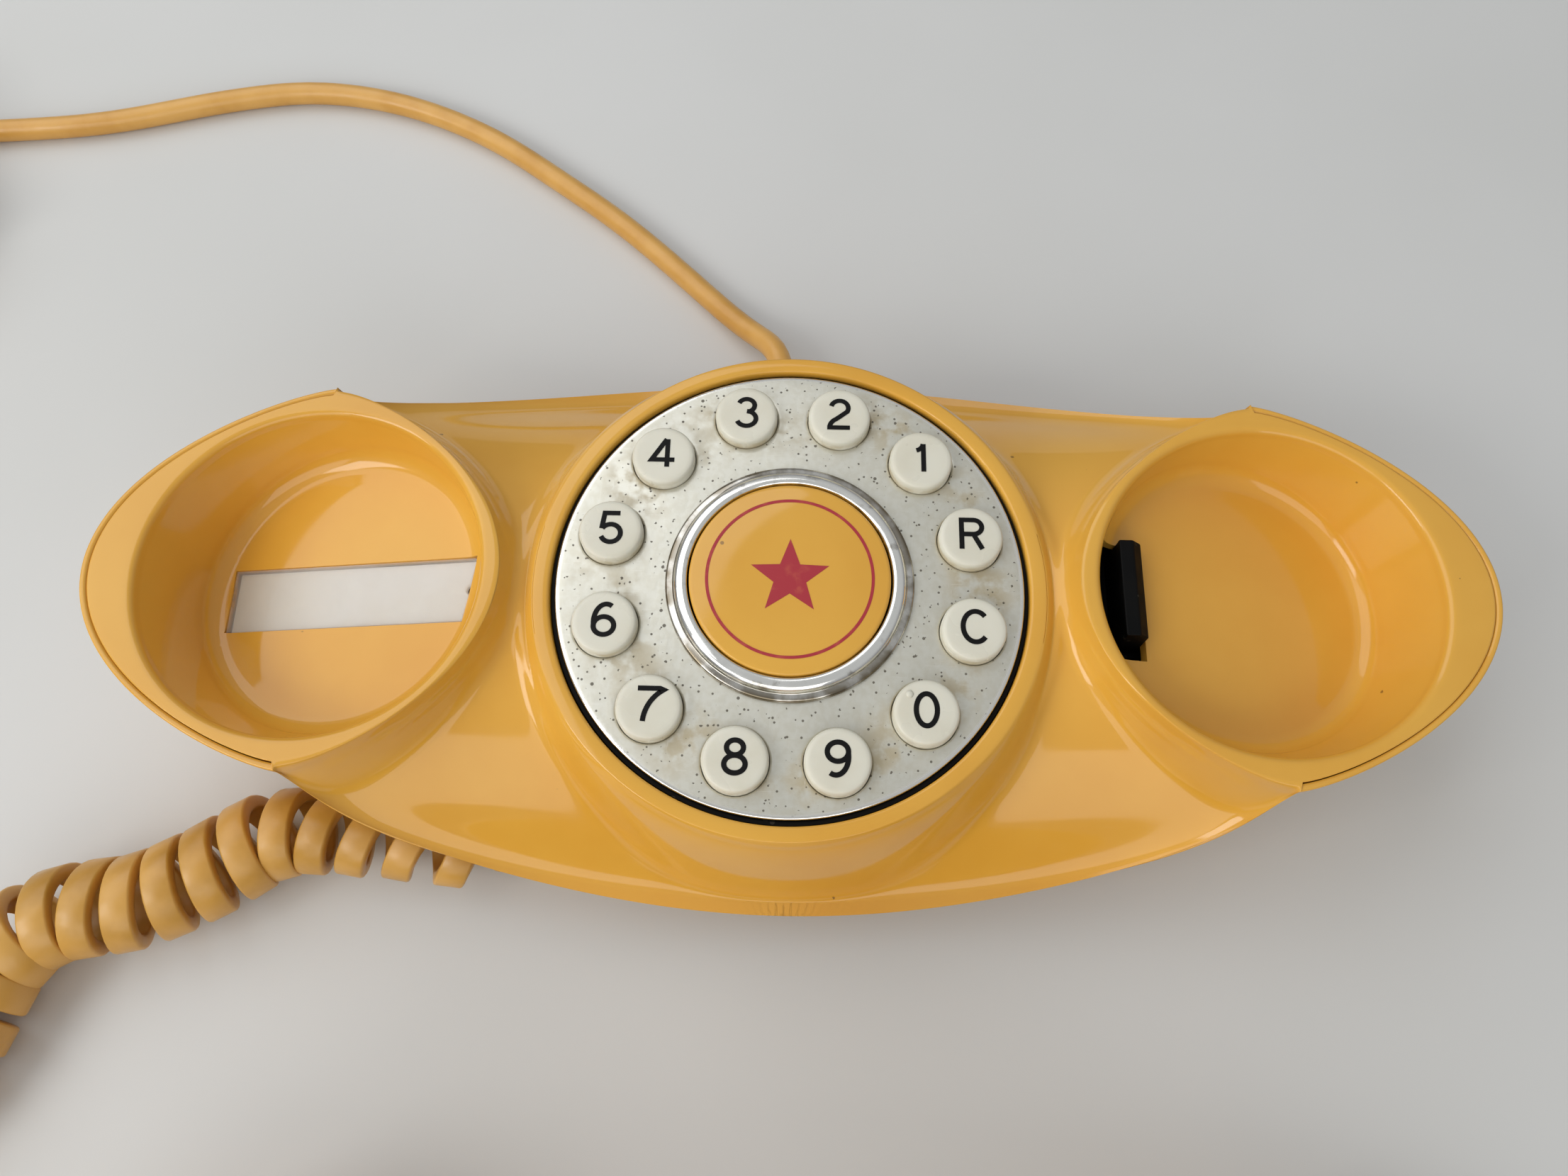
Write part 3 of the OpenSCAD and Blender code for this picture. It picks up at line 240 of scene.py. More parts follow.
# ---------------------------------------------------------------- line cord
# A round flexible cord in yellow plastic leaves the back of the body through a tapered sleeve, lies
# on the table and ends in a wall plug. Its spare length is wound in a neat coil.
def smooth_route(points, step):
    """Natural cubic through the points, measured along the straight lines between them, in equal steps."""
    p = np.array(points, float)
    gaps = np.linalg.norm(np.diff(p, axis=0), axis=1)
    t = np.r_[0, np.cumsum(gaps)]
    count = len(p)
    a = np.eye(count)
    b = np.zeros((count, p.shape[1]))
    k = np.arange(1, count - 1)
    a[k, k - 1] = gaps[k - 1]
    a[k, k] = 2 * (gaps[k - 1] + gaps[k])
    a[k, k + 1] = gaps[k]
    slope = np.diff(p, axis=0) / gaps[:, None]
    b[k] = 6 * (slope[k] - slope[k - 1])
    m = np.linalg.solve(a, b)
    u = np.linspace(0, t[-1], int(t[-1] / step) + 2)
    i = np.clip(np.searchsorted(t, u, side="right") - 1, 0, count - 2)
    h = gaps[i][:, None]
    x = (t[i + 1] - u)[:, None]
    y = (u - t[i])[:, None]
    curve = (m[i] * x**3 + m[i + 1] * y**3) / (6 * h)
    return curve + (p[i] / h - m[i] * h / 6) * x + (p[i + 1] / h - m[i + 1] * h / 6) * y


def grid_faces(rows, columns, closed=True, start=0):
    """Faces of a grid of points listed row by row; a closed grid joins its last column to its first."""
    i, j = np.meshgrid(np.arange(rows - 1), np.arange(columns if closed else columns - 1), indexing="ij")
    k = (j + 1) % columns
    corners = np.stack([i * columns + j, i * columns + k, (i + 1) * columns + k, (i + 1) * columns + j], -1)
    return (start + corners).reshape(-1, 4).tolist()


def end_fans(rows, columns, first, last):
    """Triangles from the first and last row of a closed grid to one point each, numbered first and last."""
    k = np.arange(columns)
    j = (k + 1) % columns
    base = (rows - 1) * columns
    return (np.stack([j, k, np.full(columns, first)], 1).tolist()
            + np.stack([base + k, base + j, np.full(columns, last)], 1).tolist())


def swept(path, upright, profile):
    """A closed profile of (across, out) points carried along a path. Out is upright, made square to the
    path."""
    heading = unit(np.gradient(path, axis=0))
    out = unit(upright - heading * (upright * heading).sum(1)[:, None])
    across = np.cross(heading, out)
    points = path[:, None] + profile[None, :, :1] * across[:, None] + profile[None, :, 1:] * out[:, None]
    rows, columns = points.shape[:2]
    faces = grid_faces(rows, columns) + end_fans(rows, columns, rows * columns, rows * columns + 1)
    return np.vstack([points.reshape(-1, 3), path[:1], path[-1:]]), faces


def around(angles):
    """Points (cosine, sine) on a circle of radius one, at angles in radians."""
    return np.stack([np.cos(angles), np.sin(angles)], -1)


def round_profile(radius, sides):
    """Circle as (across, out) points, in the turning sense that makes swept faces look outward."""
    return radius * around(-2 * np.pi * np.arange(sides) / sides)


def at_height(points, z):
    """Points in plan with their height, which is one number or one for each point."""
    return np.column_stack([points, np.broadcast_to(z, len(points))])


def level_way(heading):
    """Level direction of length one at a heading in degrees."""
    return np.array([*around(math.radians(heading)), 0])


def eased(value):
    """Value from 0 to 1 with a slow start and end, held outside."""
    q = np.clip(value, 0, 1)
    return q * q * (3 - 2 * q)


cord_d = 4.7
cord_low = cord_d / 2 + 0.05
cord_heading, cord_sleeve = 110, 14
cord_exit = np.array([3.2, 40.6, 8.0])
sleeve_end = cord_exit + cord_sleeve * level_way(cord_heading)
falling = [cord_exit, sleeve_end, (-4, 61.5, 7), (-8, 66.5, 4.6), (-13, 71.5, 3)]
lying = [(-19, 77.5), (-30, 88), (-41, 97.5), (-53, 106.5), (-65, 115), (-77, 121.5), (-89, 126),
         (-101, 128.5), (-113, 129), (-124, 127.5), (-135, 125), (-146, 122), (-157, 119.5), (-168, 118),
         (-179, 117), (-190, 116.5), (-200, 117)]
loose_part = falling + [(x, y, cord_low) for x, y in lying]
# the coil: radius and layer of each turn, with a step over to the next one at the end of a turn
coil_centre = np.array([-218.0, 86.0])
coil_slots = np.array([31.7, 27, 22.3, 22.3, 27, 31.7, 31.7, 27, 22.3, 22.3, 27])
coil_layers = np.array([0, 0, 0, 1, 1, 1, 2, 2, 2, 3, 3])
tail_radius = 36.65
coil_turns, step_start, tail_start, drop_start = 10.2889, 0.84, 9.72, 10.06
turns = np.arange(0, coil_turns, 1 / 72)
this_slot = np.minimum(turns.astype(int), 10)
next_slot = np.minimum(this_slot + 1, 10)
step_over = eased((turns - this_slot - step_start) / (1 - step_start))
radius = coil_slots[this_slot] + (coil_slots[next_slot] - coil_slots[this_slot]) * step_over
layer = coil_layers[this_slot] + (coil_layers[next_slot] - coil_layers[this_slot]) * step_over
radius = radius + (tail_radius - radius) * eased((turns - tail_start) / 0.42)
height = cord_low + cord_d * layer * (1 - eased((turns - drop_start) / (coil_turns - drop_start)))
angle = np.radians(76) + 2 * np.pi * turns
coil_part = at_height(coil_centre + radius[:, None] * around(angle), height)
nose_end = np.array([coil_centre[0] - tail_radius, 73.0, cord_low])
line_path = smooth_route(np.vstack([loose_part, coil_part[::3], nose_end + (0, 6, 0), nose_end]), 2.0)
points, faces = swept(line_path, (0, 0, 1), round_profile(cord_d / 2, 16))
line_cord = mesh_object("line_cord_round", points, faces)
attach(line_cord, "base")
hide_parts("line_cord", "line_coil")


def relief(n, l, bsdf, height, strength, distance):
    """Bump from a height, in metres, on the shader's normal."""
    made = n.new("ShaderNodeBump")
    made.inputs["Strength"].default_value = strength
    made.inputs["Distance"].default_value = distance
    l.new(height, made.inputs["Height"])
    l.new(made.outputs["Normal"], bsdf.inputs["Normal"])


def cord_plastic(name, colour, dark):
    """Glossy soft plastic with a faint cloudiness and a little grime, for the two cords."""
    made, n, l, bsdf = new_finish(name, colour, 0.34, IOR=1.5)
    place = place_of(n)
    cloud = ramp(n, l, noise(n, l, place, 90, 4), 0.35, 0.75)
    l.new(blend_colour(n, l, cloud, colour, dark), bsdf.inputs["Base Color"])
    l.new(ramp(n, l, noise(n, l, place, 400, 3), 0.3, 0.8, 0.28, 0.46), bsdf.inputs["Roughness"])
    relief(n, l, bsdf, noise(n, l, place, 900, 2), 0.12, 0.0002)
    return made


line_plastic = cord_plastic("line_cord_plastic", linear(222, 170, 88), linear(205, 150, 66))
line_cord.data.materials.append(line_plastic)

# ---------------------------------------------------------------- curly cord
# A flat ribbon of yellow plastic wound into tight springy turns. It leaves a sleeve under the front
# of the body, its first turns pulled thin, and ends in a sleeve on the handset's left end.
def distance_along(path):
    """Distance from the first point of a path, measured along it, for each point."""
    return np.r_[0, np.cumsum(np.linalg.norm(np.diff(path, axis=0), axis=1))]


def rounded_band(wide, thick, corner_r):
    """Rectangle with rounded corners as (across, out) points, for swept."""
    turn = around(np.radians(np.arange(0, 360, 30) + 15))
    return (np.sign(turn) * (wide / 2 - corner_r, thick / 2 - corner_r) + corner_r * turn)[::-1]


band_wide, band_thick = 5.0, 2.5
curl_outer = 16.4
curl_low = curl_outer / 2 + 0.1
curl_heading, curl_sleeve_long = 196, 12.5
curl_exit = np.array([-37.0, -36.2, 8.0])
curl_start = curl_exit + curl_sleeve_long * level_way(curl_heading)
curl_end = np.array([-126.45, -131.0, 12.5])
lying = [(-53, -41), (-62, -40.3), (-72, -38.6), (-81, -37.4), (-89, -38.3), (-96, -42.5), (-103, -46.5),
         (-111, -49.8), (-119, -51.2), (-126.5, -54), (-132, -60.5), (-135, -69), (-139, -78), (-146, -86),
         (-156, -92), (-167, -97), (-177, -104), (-183, -114), (-184, -126), (-179, -137), (-169, -144),
         (-157, -145)]
rising = [(-147, -141.5, curl_low + 0.5), (-139, -135, curl_low + 2), curl_end - (5, 0, 0.4),
          curl_end + (6, 0, 0)]
curl_route = [curl_exit + (curl_start - curl_exit) * 0.5, curl_start]
curl_route += [(x, y, curl_low) for x, y in lying] + rising
curl_middle = smooth_route(curl_route, 0.12)
from_start = distance_along(curl_middle)
from_end = from_start[-1] - from_start
full = (curl_outer - band_thick) / 2
wind_radius = full * np.minimum(
    eased((from_start - 1) / 9) * (0.52 + 0.48 * eased((from_start - 6) / 50)),
    eased((from_end - 6) / 12))
pitch = 6.75 + 3.2 * (1 - eased((from_start - 4) / 42)) + 2.5 * (1 - eased(from_end / 16))
winding = np.r_[0, np.cumsum(np.diff(from_start) / pitch[1:])] * 2 * np.pi
heading = unit(np.gradient(curl_middle, axis=0))
side = unit(np.cross(heading, (0, 0, 1)))
up = np.cross(side, heading)
spoke = np.cos(winding)[:, None] * side + np.sin(winding)[:, None] * up
helix = curl_middle + wind_radius[:, None] * spoke
helix_along = distance_along(helix)
stations = np.interp(np.arange(0, helix_along[-1], 1.25), helix_along, np.arange(len(helix)))
low = np.floor(stations).astype(int).clip(0, len(helix) - 2)
part = (stations % 1)[:, None]
ribbon_path = helix[low] * (1 - part) + helix[low + 1] * part
ribbon_out = spoke[low] * (1 - part) + spoke[low + 1] * part
points, faces = swept(ribbon_path, ribbon_out, rounded_band(band_wide, band_thick, 0.6))
curly_cord = mesh_object("curly_cord_ribbon", points, faces)
curly_plastic = cord_plastic("curly_cord_plastic", linear(212, 162, 80), linear(186, 138, 56))
curly_cord.data.materials.append(curly_plastic)
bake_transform(curly_cord)
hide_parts("curl_cord")

# ---------------------------------------------------------------- top cover
# The upper half of the body, one moulding in glossy yellow plastic: a saddle with a round turret for
# the dial, and a cup at each end with a flat rim. Four screws from below hold it on the lower shell.
rim_z = 40.0
cup_x, tip_out, ridge_in, corner_y = 77.15, 36.3, 30.6, 32.6
waist_y, dip, crest_drop = 48.0, 28.0, 6.0
collar_r, gap_r, collar_drop = 41.6, 38.9, 2.95
flare_wide, hollow_soft, flank_wide = 6.4, 3.2, 4.2


def span(x):
    """Distance from the dial as a share of the distance to a cup's centre."""
    return np.minimum(1, np.abs(x) / cup_x)


def seam_y(x):
    """Half width of the body at the parting line: from the waist down to the rim's corner, mostly with the
    square of the span and a little with its twelfth power."""
    return waist_y - (waist_y - corner_y) * (0.78 * span(x) ** 2 + 0.22 * span(x) ** 12)


def seam_z(x):
    """Height of the parting line, counted from the rims: a rounded dip, deepest beside the dial."""
    return -dip * np.sqrt(np.maximum(0, 1 - span(x) ** 2.6))


def skin_z(x, y):
    """Height of the cover between the cups: the higher of an arched saddle and the turret's flare, softly
    joined, falling to the parting line at both sides."""
    v = np.minimum(1, np.abs(y) / seam_y(x))
    crest = -crest_drop * (1 - span(x) ** 3)
    arch = crest + (seam_z(x) - crest) * v**2.2
    r = np.hypot(x, y)
    turret = -collar_drop - (dip - collar_drop) * (np.maximum(0, r - collar_r) / flare_wide) ** 1.6
    fillet = hollow_soft * np.log1p(np.exp(-np.abs(arch - turret) / hollow_soft))
    both = np.maximum(arch, turret) + fillet * eased((r - collar_r) / 4)
    return seam_z(x) + (both - seam_z(x)) * (1 - v**12)


def lemon(a, nose, corner):
    """Outline of a cup's rim as x outward and y: a runs from 0 at one corner over 90 at the nose to 180
    degrees at the other. y is the cosine, and x the sine raised to a power that makes a blunt point."""
    turn = np.radians(np.minimum(a, 180 - a))
    y = corner * np.cos(turn) * np.where(a > 90, -1, 1)
    return np.stack([nose * np.abs(np.sin(turn)) ** (2 / 1.3), y], -1)


def weld(thing, distance=1e-6):
    """Joins points of an object's mesh that lie together."""
    work = bmesh.new()
    work.from_mesh(thing.data)
    bmesh.ops.remove_doubles(work, verts=work.verts, dist=distance)
    work.to_mesh(thing.data)
    work.free()


def turn_in(thing, depth, way):
    """Gives a thin skin its visible wall thickness: every open edge is carried inward by depth
    millimetres, along way(place in millimetres, normal), and the fold stays crisp."""
    work = bmesh.new()
    work.from_mesh(thing.data)
    work.normal_update()
    rim = [edge for edge in work.edges if edge.is_boundary]
    for edge in rim:
        edge.smooth = False
    goes = {corner.co.copy().freeze(): way(np.array(corner.co) * 1000, np.array(corner.normal))
            for edge in rim for corner in edge.verts}
    skin_faces, skin_corners = len(work.faces), len(work.verts)
    made = bmesh.ops.extrude_edge_only(work, edges=rim)["geom"]
    work.verts.index_update()
    work.faces.index_update()

    def rank(face):
        low, high = sorted(corner.index for corner in face.verts)[:2]
        return face.index if face.index < skin_faces else skin_faces + low * skin_corners + high

    # Extruding leaves the walls in an order that changes from run to run.
    work.faces.sort(key=rank)
    for corner in made:
        if isinstance(corner, bmesh.types.BMVert):
            step = np.array(goes[corner.co.copy().freeze()]) * depth / 1000
            corner.co = [float(c) for c in np.array(corner.co) + step]
    for edge in made:
        if isinstance(edge, bmesh.types.BMEdge) and not edge.is_boundary:
            edge.smooth = True
    for face in work.faces:
        face.smooth = True
    work.to_mesh(thing.data)
    work.free()


# Saddle: curved radial lines run from the collar to the outline; four groups of them meet at lines
# from the collar to the corners of the rims.
nose_a = np.linspace(0, 180, 121)
east_outer = (lemon(nose_a, ridge_in, corner_y) * (-1, 1) + (cup_x, 0))[::-1]
side_x = cup_x * np.sin(np.linspace(np.pi / 2, -np.pi / 2, 181))
north_outer = np.stack([side_x, seam_y(side_x)], 1)
shares = np.linspace(0, 1, 61)
meet_at = 40
meet_way = around(math.radians(meet_at))
from_collar = collar_r * meet_way
to_corner = np.array([cup_x, corner_y])
pull_a = 40 * meet_way
pull_b = 40 * np.array([0.94, -0.34])
t = shares[:, None]
corner_line = ((2 * t**3 - 3 * t**2 + 1) * from_collar + (t**3 - 2 * t**2 + t) * pull_a
               + (3 * t**2 - 2 * t**3) * to_corner + (t**3 - t**2) * pull_b)


def coons(inner, outer, first_side, last_side):
    """Points of a four-sided region from its four edges; gives (along the sides, along inner) points."""
    u = np.linspace(0, 1, len(inner))[None, :, None]
    v = np.linspace(0, 1, len(first_side))[:, None, None]
    corners = ((1 - u) * (1 - v) * inner[0] + u * (1 - v) * inner[-1]
               + (1 - u) * v * outer[0] + u * v * outer[-1])
    return (1 - v) * inner + v * outer + (1 - u) * first_side[:, None] + u * last_side[:, None] - corners


def collar_arc(start, stop, count):
    """Points on the collar's edge between two angles in degrees."""
    return collar_r * around(np.radians(np.linspace(start, stop, count)))


east = coons(collar_arc(-meet_at, meet_at, 121), east_outer, corner_line * (1, -1), corner_line)
north = coons(collar_arc(meet_at, 180 - meet_at, 181), north_outer, corner_line, corner_line * (-1, 1))
saddle = np.concatenate([east[:, :-1], north[:, :-1], -east[:, :-1], -north[:, :-1]], 1)
x, y = saddle[..., 0], saddle[..., 1]
ridge_line = np.concatenate([east_outer, -east_outer])
near_ridge = np.stack([np.hypot(x[i][:, None] - ridge_line[:, 0], y[i][:, None] - ridge_line[:, 1]).min(1)
                       for i in range(len(x))])
off_seam = 1 - np.minimum(1, np.abs(y) / seam_y(x)) ** 12
flank = np.clip(1 - (near_ridge + 0.06) / flank_wide, 0, 1) ** 2.6 * off_seam
z = skin_z(x, y) * (1 - flank)
on_ridge = near_ridge[-1] < 0.01
z[-1] = np.where(on_ridge, z[-1], seam_z(x[-1]))
saddle_points = np.stack([x, y, z], -1)
# collar: a flat ring with rounded edges, and the wall of the hole for the dial
ring_a = np.arctan2(saddle[0, :, 1], saddle[0, :, 0])
collar_profile = [(gap_r, -6.2), (gap_r, -3.5), (gap_r + 0.06, -3.1), (gap_r + 0.25, -2.87),
                  (gap_r + 0.5, -2.8), (40.2, -2.78), (40.8, -2.8), (41.2, -2.84), (41.45, -2.89)]
collar_rows = np.stack([at_height(r * around(ring_a), h) for r, h in collar_profile])
saddle_all = np.concatenate([collar_rows, saddle_points]).reshape(-1, 3)
saddle_faces = [face[::-1] for face in grid_faces(len(collar_profile) + len(shares), saddle.shape[1])]

# Cup: rows of points from its centre, up its wall and over its lip, out to the rim's outline
cup_depth, floor_slope, floor_shift = 11.5, math.tan(math.radians(12)), 2.5
floor_r, foot_r, wall_r, lip_r, lip_round = 21.6, 24.9, 27.3, 27.4, 1.2
tip_inset, arc_count = 1.4, 121
tip_curve = lemon(np.linspace(0, 180, arc_count), tip_out - tip_inset, corner_y - tip_inset)
tip_curve[:, 0] = 0.5 + tip_curve[:, 0] * (1 - 0.5 / (tip_out - tip_inset))
outline = np.concatenate([east_outer - (cup_x, 0), tip_curve])
wave = around(np.radians(np.r_[np.linspace(-90, -270, arc_count), np.linspace(89, -89, arc_count)]))
on_dial_side = np.arange(len(outline)) < arc_count


def cup_floor(x):
    """Height of a cup's floor, a plane that falls outward."""
    return -cup_depth - x * floor_slope


cup_rows = []
for share in np.linspace(0.1, 1, 12):
    p = floor_r * share * wave - (floor_shift, 0)
    cup_rows.append(at_height(p, cup_floor(p[:, 0])))
floor_edge = floor_r * wave - (floor_shift, 0)
foot = foot_r * wave - (floor_shift, 0)
wall_way = (wall_r * wave - foot) / np.abs(cup_floor(foot[:, 0]) + lip_round)[:, None]
for bend in np.radians(np.linspace(12, 90, 9)):
    rise = 3.6 * (1 - math.cos(bend))
    p = floor_edge + (foot - floor_edge) * math.sin(bend) + wall_way * rise * 0.5
    cup_rows.append(at_height(p, cup_floor(p[:, 0]) + rise))
wall_foot = cup_rows[-1]
wall_top = at_height((lip_r - 0.04) * wave, -lip_round - 0.3)
for q in np.linspace(0.06, 1, 18):
    cup_rows.append(wall_foot * (1 - q) + wall_top * q)
for bend in np.radians([15, 30, 45, 60, 75, 90]):
    r = lip_r + lip_round * (1 - math.cos(bend))
    cup_rows.append(at_height(r * wave, lip_round * (math.sin(bend) - 1)))
lip_end = (lip_r + lip_round) * wave
inward = unit(lip_end - outline)
for q in (0.25, 0.5, 0.75):
    cup_rows.append(at_height(lip_end + (outline + inward * 0.9 - lip_end) * q, 0))
soft_edge = np.where(on_dial_side, 0.9, 0.3)
edge_z = np.full(len(outline), -0.12)
edge_z[on_dial_side] = z[-1, :arc_count]
for away in (1.0, 0.75, 0.5, 0.28, 0.12, 0.0):
    cup_rows.append(at_height(outline + inward * (soft_edge * away)[:, None], edge_z * (1 - away) ** 2))
cup_points = np.stack(cup_rows)
cup_count = cup_points.shape[1]
middle = np.array([[-floor_shift, 0, cup_floor(-floor_shift)]])
pieces_points, pieces_faces = [saddle_all], list(saddle_faces)
offset = len(saddle_all)
for turned in (1, -1):
    block = cup_points.reshape(-1, 3)
    pieces_points.append(np.vstack([block, middle]) * (turned, turned, 1) + (turned * cup_x, 0, 0))
    pieces_faces += grid_faces(len(cup_rows), cup_count, True, offset)
    centre = offset + len(block)
    k = offset + np.arange(cup_count)
    pieces_faces += np.stack([np.full(cup_count, centre), np.roll(k, -1), k], 1).tolist()
    offset = centre + 1
all_points = np.vstack(pieces_points) + (0, 0, rim_z)
cover = mesh_object("cover_shell", all_points, pieces_faces)
weld(cover)


def tilted(points, degrees):
    """Points or directions turned about y by so many degrees."""
    s, c = math.sin(math.radians(degrees)), math.cos(math.radians(degrees))
    return np.asarray(points, float) @ np.array([[c, 0, -s], [0, 1, 0], [s, 0, c]])


def cut_opening(thing, sides, place=(0, 0, 0), tilt=0.0, reach=4.0, round_x=None):
    """Opening in a skin: splits its faces along flat sides and takes away what lies within all of them.
    A side is a point and its outward direction, in millimetres from a place, tilted about y. With
    round_x, only what lies inside the cup about that x is taken."""
    work = bmesh.new()
    work.from_mesh(thing.data)
    spots = tilted([spot for spot, way in sides], tilt) + place
    ways = unit(tilted([way for spot, way in sides], tilt))

    def within(face, grown):
        middle = np.array(face.calc_center_median()) * 1000
        inside = round_x is None or math.hypot(middle[0] - round_x, middle[1]) < 28.4
        return inside and bool((((middle - spots) * ways).sum(1) < grown).all())

    for spot, way in zip(spots, ways):
        faces = [face for face in work.faces if within(face, reach)]
        edges = dict.fromkeys(edge for face in faces for edge in face.edges)
        corners = dict.fromkeys(corner for face in faces for corner in face.verts)
        bmesh.ops.bisect_plane(work, geom=[*faces, *edges, *corners], dist=1e-7,
                               plane_co=spot / 1000, plane_no=way)
    bmesh.ops.delete(work, geom=[face for face in work.faces if within(face, 0)], context="FACES")
    work.to_mesh(thing.data)
    work.free()


label_out, label_tilt = 19, -12
label_place = (-cup_x - label_out, -0.85, rim_z + cup_floor(label_out))
hook_slot = [((47.65, 0, 30), (-1, 0, 0)), ((58.25, 0, 30), (1, 0, 0)), ((50, -10.65, 30), (0, -1, 0)),
             ((50, 9.15, 30), (0, 1, 0)), ((50, 0, 20.5), (0, 0, -1)), ((50, 0, 38.5), (0, 0, 1))]
label_pocket = [((0, 0, 0), (-1, 0, 0)), ((45.5, 5.65, 0), (11.3, -1.7, 0)), ((0, -5.65, 0), (0, -1, 0)),
                ((0, 5.65, 0), (0, 1, 0)), ((0, 0, -1), (0, 0, -1)), ((0, 0, 1), (0, 0, 1))]
cut_opening(cover, hook_slot, round_x=cup_x)
cut_opening(cover, label_pocket, label_place, label_tilt)


def cover_wall_way(place, normal):
    """Walls of the cover's open edges: straight down at the tips and the dial's hole, level and inward
    along the parting line, square to the skin at the openings."""
    x, y, z = place
    if z > rim_z - 0.2 or math.hypot(x, y) < gap_r + 1:
        return (0, 0, -1)
    if abs(x) <= cup_x and abs(y) > seam_y(x) - 0.3:
        return (0, -math.copysign(1, y), 0)
    return -normal


turn_in(cover, 1.9, cover_wall_way)
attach(cover, "base")
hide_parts("top_cover")


def effect_group(name, **inputs):
    """A shared effect: a node group with a Place input, other inputs with their usual values, and a
    Mask output."""
    tree = bpy.data.node_groups.new(name, "ShaderNodeTree")
    tree.interface.new_socket(name="Place", in_out="INPUT", socket_type="NodeSocketVector")
    for key, value in inputs.items():
        number = tree.interface.new_socket(name=key, in_out="INPUT", socket_type="NodeSocketFloat")
        number.default_value = value
    tree.interface.new_socket(name="Mask", in_out="OUTPUT", socket_type="NodeSocketFloat")
    given = tree.nodes.new("NodeGroupInput").outputs
    return tree, tree.nodes, tree.links, given, tree.nodes.new("NodeGroupOutput").inputs["Mask"]


soft_cloud, n, l, given, mask = effect_group("soft_cloud", Scale=30.0)
l.new(ramp(n, l, noise(n, l, given["Place"], given["Scale"], 4), 0.32, 0.74), mask)

dust_specks, n, l, given, mask = effect_group("dust_specks", Scale=260.0, Size=0.1, Share=0.62)
cells = n.new("ShaderNodeTexVoronoi")
l.new(given["Place"], cells.inputs["Vector"])
l.new(given["Scale"], cells.inputs["Scale"])
near = arithmetic(n, l, "LESS_THAN", cells.outputs["Distance"], given["Size"])
lottery = noise(n, l, given["Place"], times(n, l, given["Scale"], 0.7), 1)
chosen = arithmetic(n, l, "GREATER_THAN", lottery, given["Share"])
l.new(times(n, l, near, chosen), mask)

fine_scratches, n, l, given, mask = effect_group("fine_scratches", Scale=160.0)
directions = []
for stretch, turn, level in (((1, 14, 14), 35, 0.68), ((12, 1, 12), -20, 0.70)):
    squeeze = n.new("ShaderNodeMapping")
    squeeze.inputs["Scale"].default_value = stretch
    squeeze.inputs["Rotation"].default_value = (0, 0, math.radians(turn))
    l.new(given["Place"], squeeze.inputs["Vector"])
    directions.append(ramp(n, l, noise(n, l, squeeze.outputs[0], given["Scale"], 2), level, level + 0.04))
l.new(larger(n, l, *directions), mask)


def effect(n, l, tree, place, **values):
    """Places a shared effect in a material with its own values and gives its mask."""
    made = n.new("ShaderNodeGroup")
    made.node_tree = tree
    l.new(place, made.inputs["Place"])
    for key, value in values.items():
        made.inputs[key].default_value = value
    return made.outputs["Mask"]


def plus(n, l, a, b):
    """Sum of two values."""
    return arithmetic(n, l, "ADD", a, b)


def yellow_moulding(name):
    """Glossy warm yellow moulding: faint cloudiness, fine dust specks and hairline scratches."""
    made, n, l, bsdf = new_finish(name, linear(229, 172, 68), 0.12, IOR=1.5)
    place = place_of(n)
    cloud = effect(n, l, soft_cloud, place, Scale=28.0)
    colour = blend_colour(n, l, cloud, linear(230, 174, 70), linear(222, 162, 58))
    specks = effect(n, l, dust_specks, place, Scale=240.0, Size=0.08, Share=0.64)
    colour = blend_colour(n, l, times(n, l, specks, 0.7), colour, linear(110, 78, 36))
    l.new(colour, bsdf.inputs["Base Color"])
    lines = effect(n, l, fine_scratches, place, Scale=150.0)
    rough = ramp(n, l, noise(n, l, place, 45, 4), 0.3, 0.8, 0.06, 0.14)
    l.new(plus(n, l, rough, times(n, l, lines, 0.12)), bsdf.inputs["Roughness"])
    relief(n, l, bsdf, noise(n, l, place, 110, 2), 0.035, 0.0003)
    return made


body_finish = yellow_moulding("body_plastic")
cover.data.materials.append(body_finish)

# ---------------------------------------------------------------- lower shell
# The lower half of the body in the same yellow plastic. It turns in under the parting line to a flat
# base with four rubber feet; around each tip its edge shows as a narrow strip beside the cover.
def body_loop(inset):
    """Outline of the body in plan, counter-clockwise, moved inward by so many millimetres."""
    a = np.linspace(0, 180, 97)
    tip = lemon(a, tip_out - inset, corner_y - inset) * (1, -1) + (cup_x, 0)
    x = cup_x * np.sin(np.linspace(np.pi / 2, -np.pi / 2, 141))[1:-1]
    back = np.stack([x, seam_y(x) + 0.45 * (1 - span(x) ** 10) - inset], 1)
    return np.concatenate([tip, back, -tip, -back])


def rim_line_z(p):
    """Height of the parting line around the whole outline; it's level with the rims round the tips."""
    return np.where(np.abs(p[:, 0]) < cup_x, seam_z(p[:, 0]), 0)


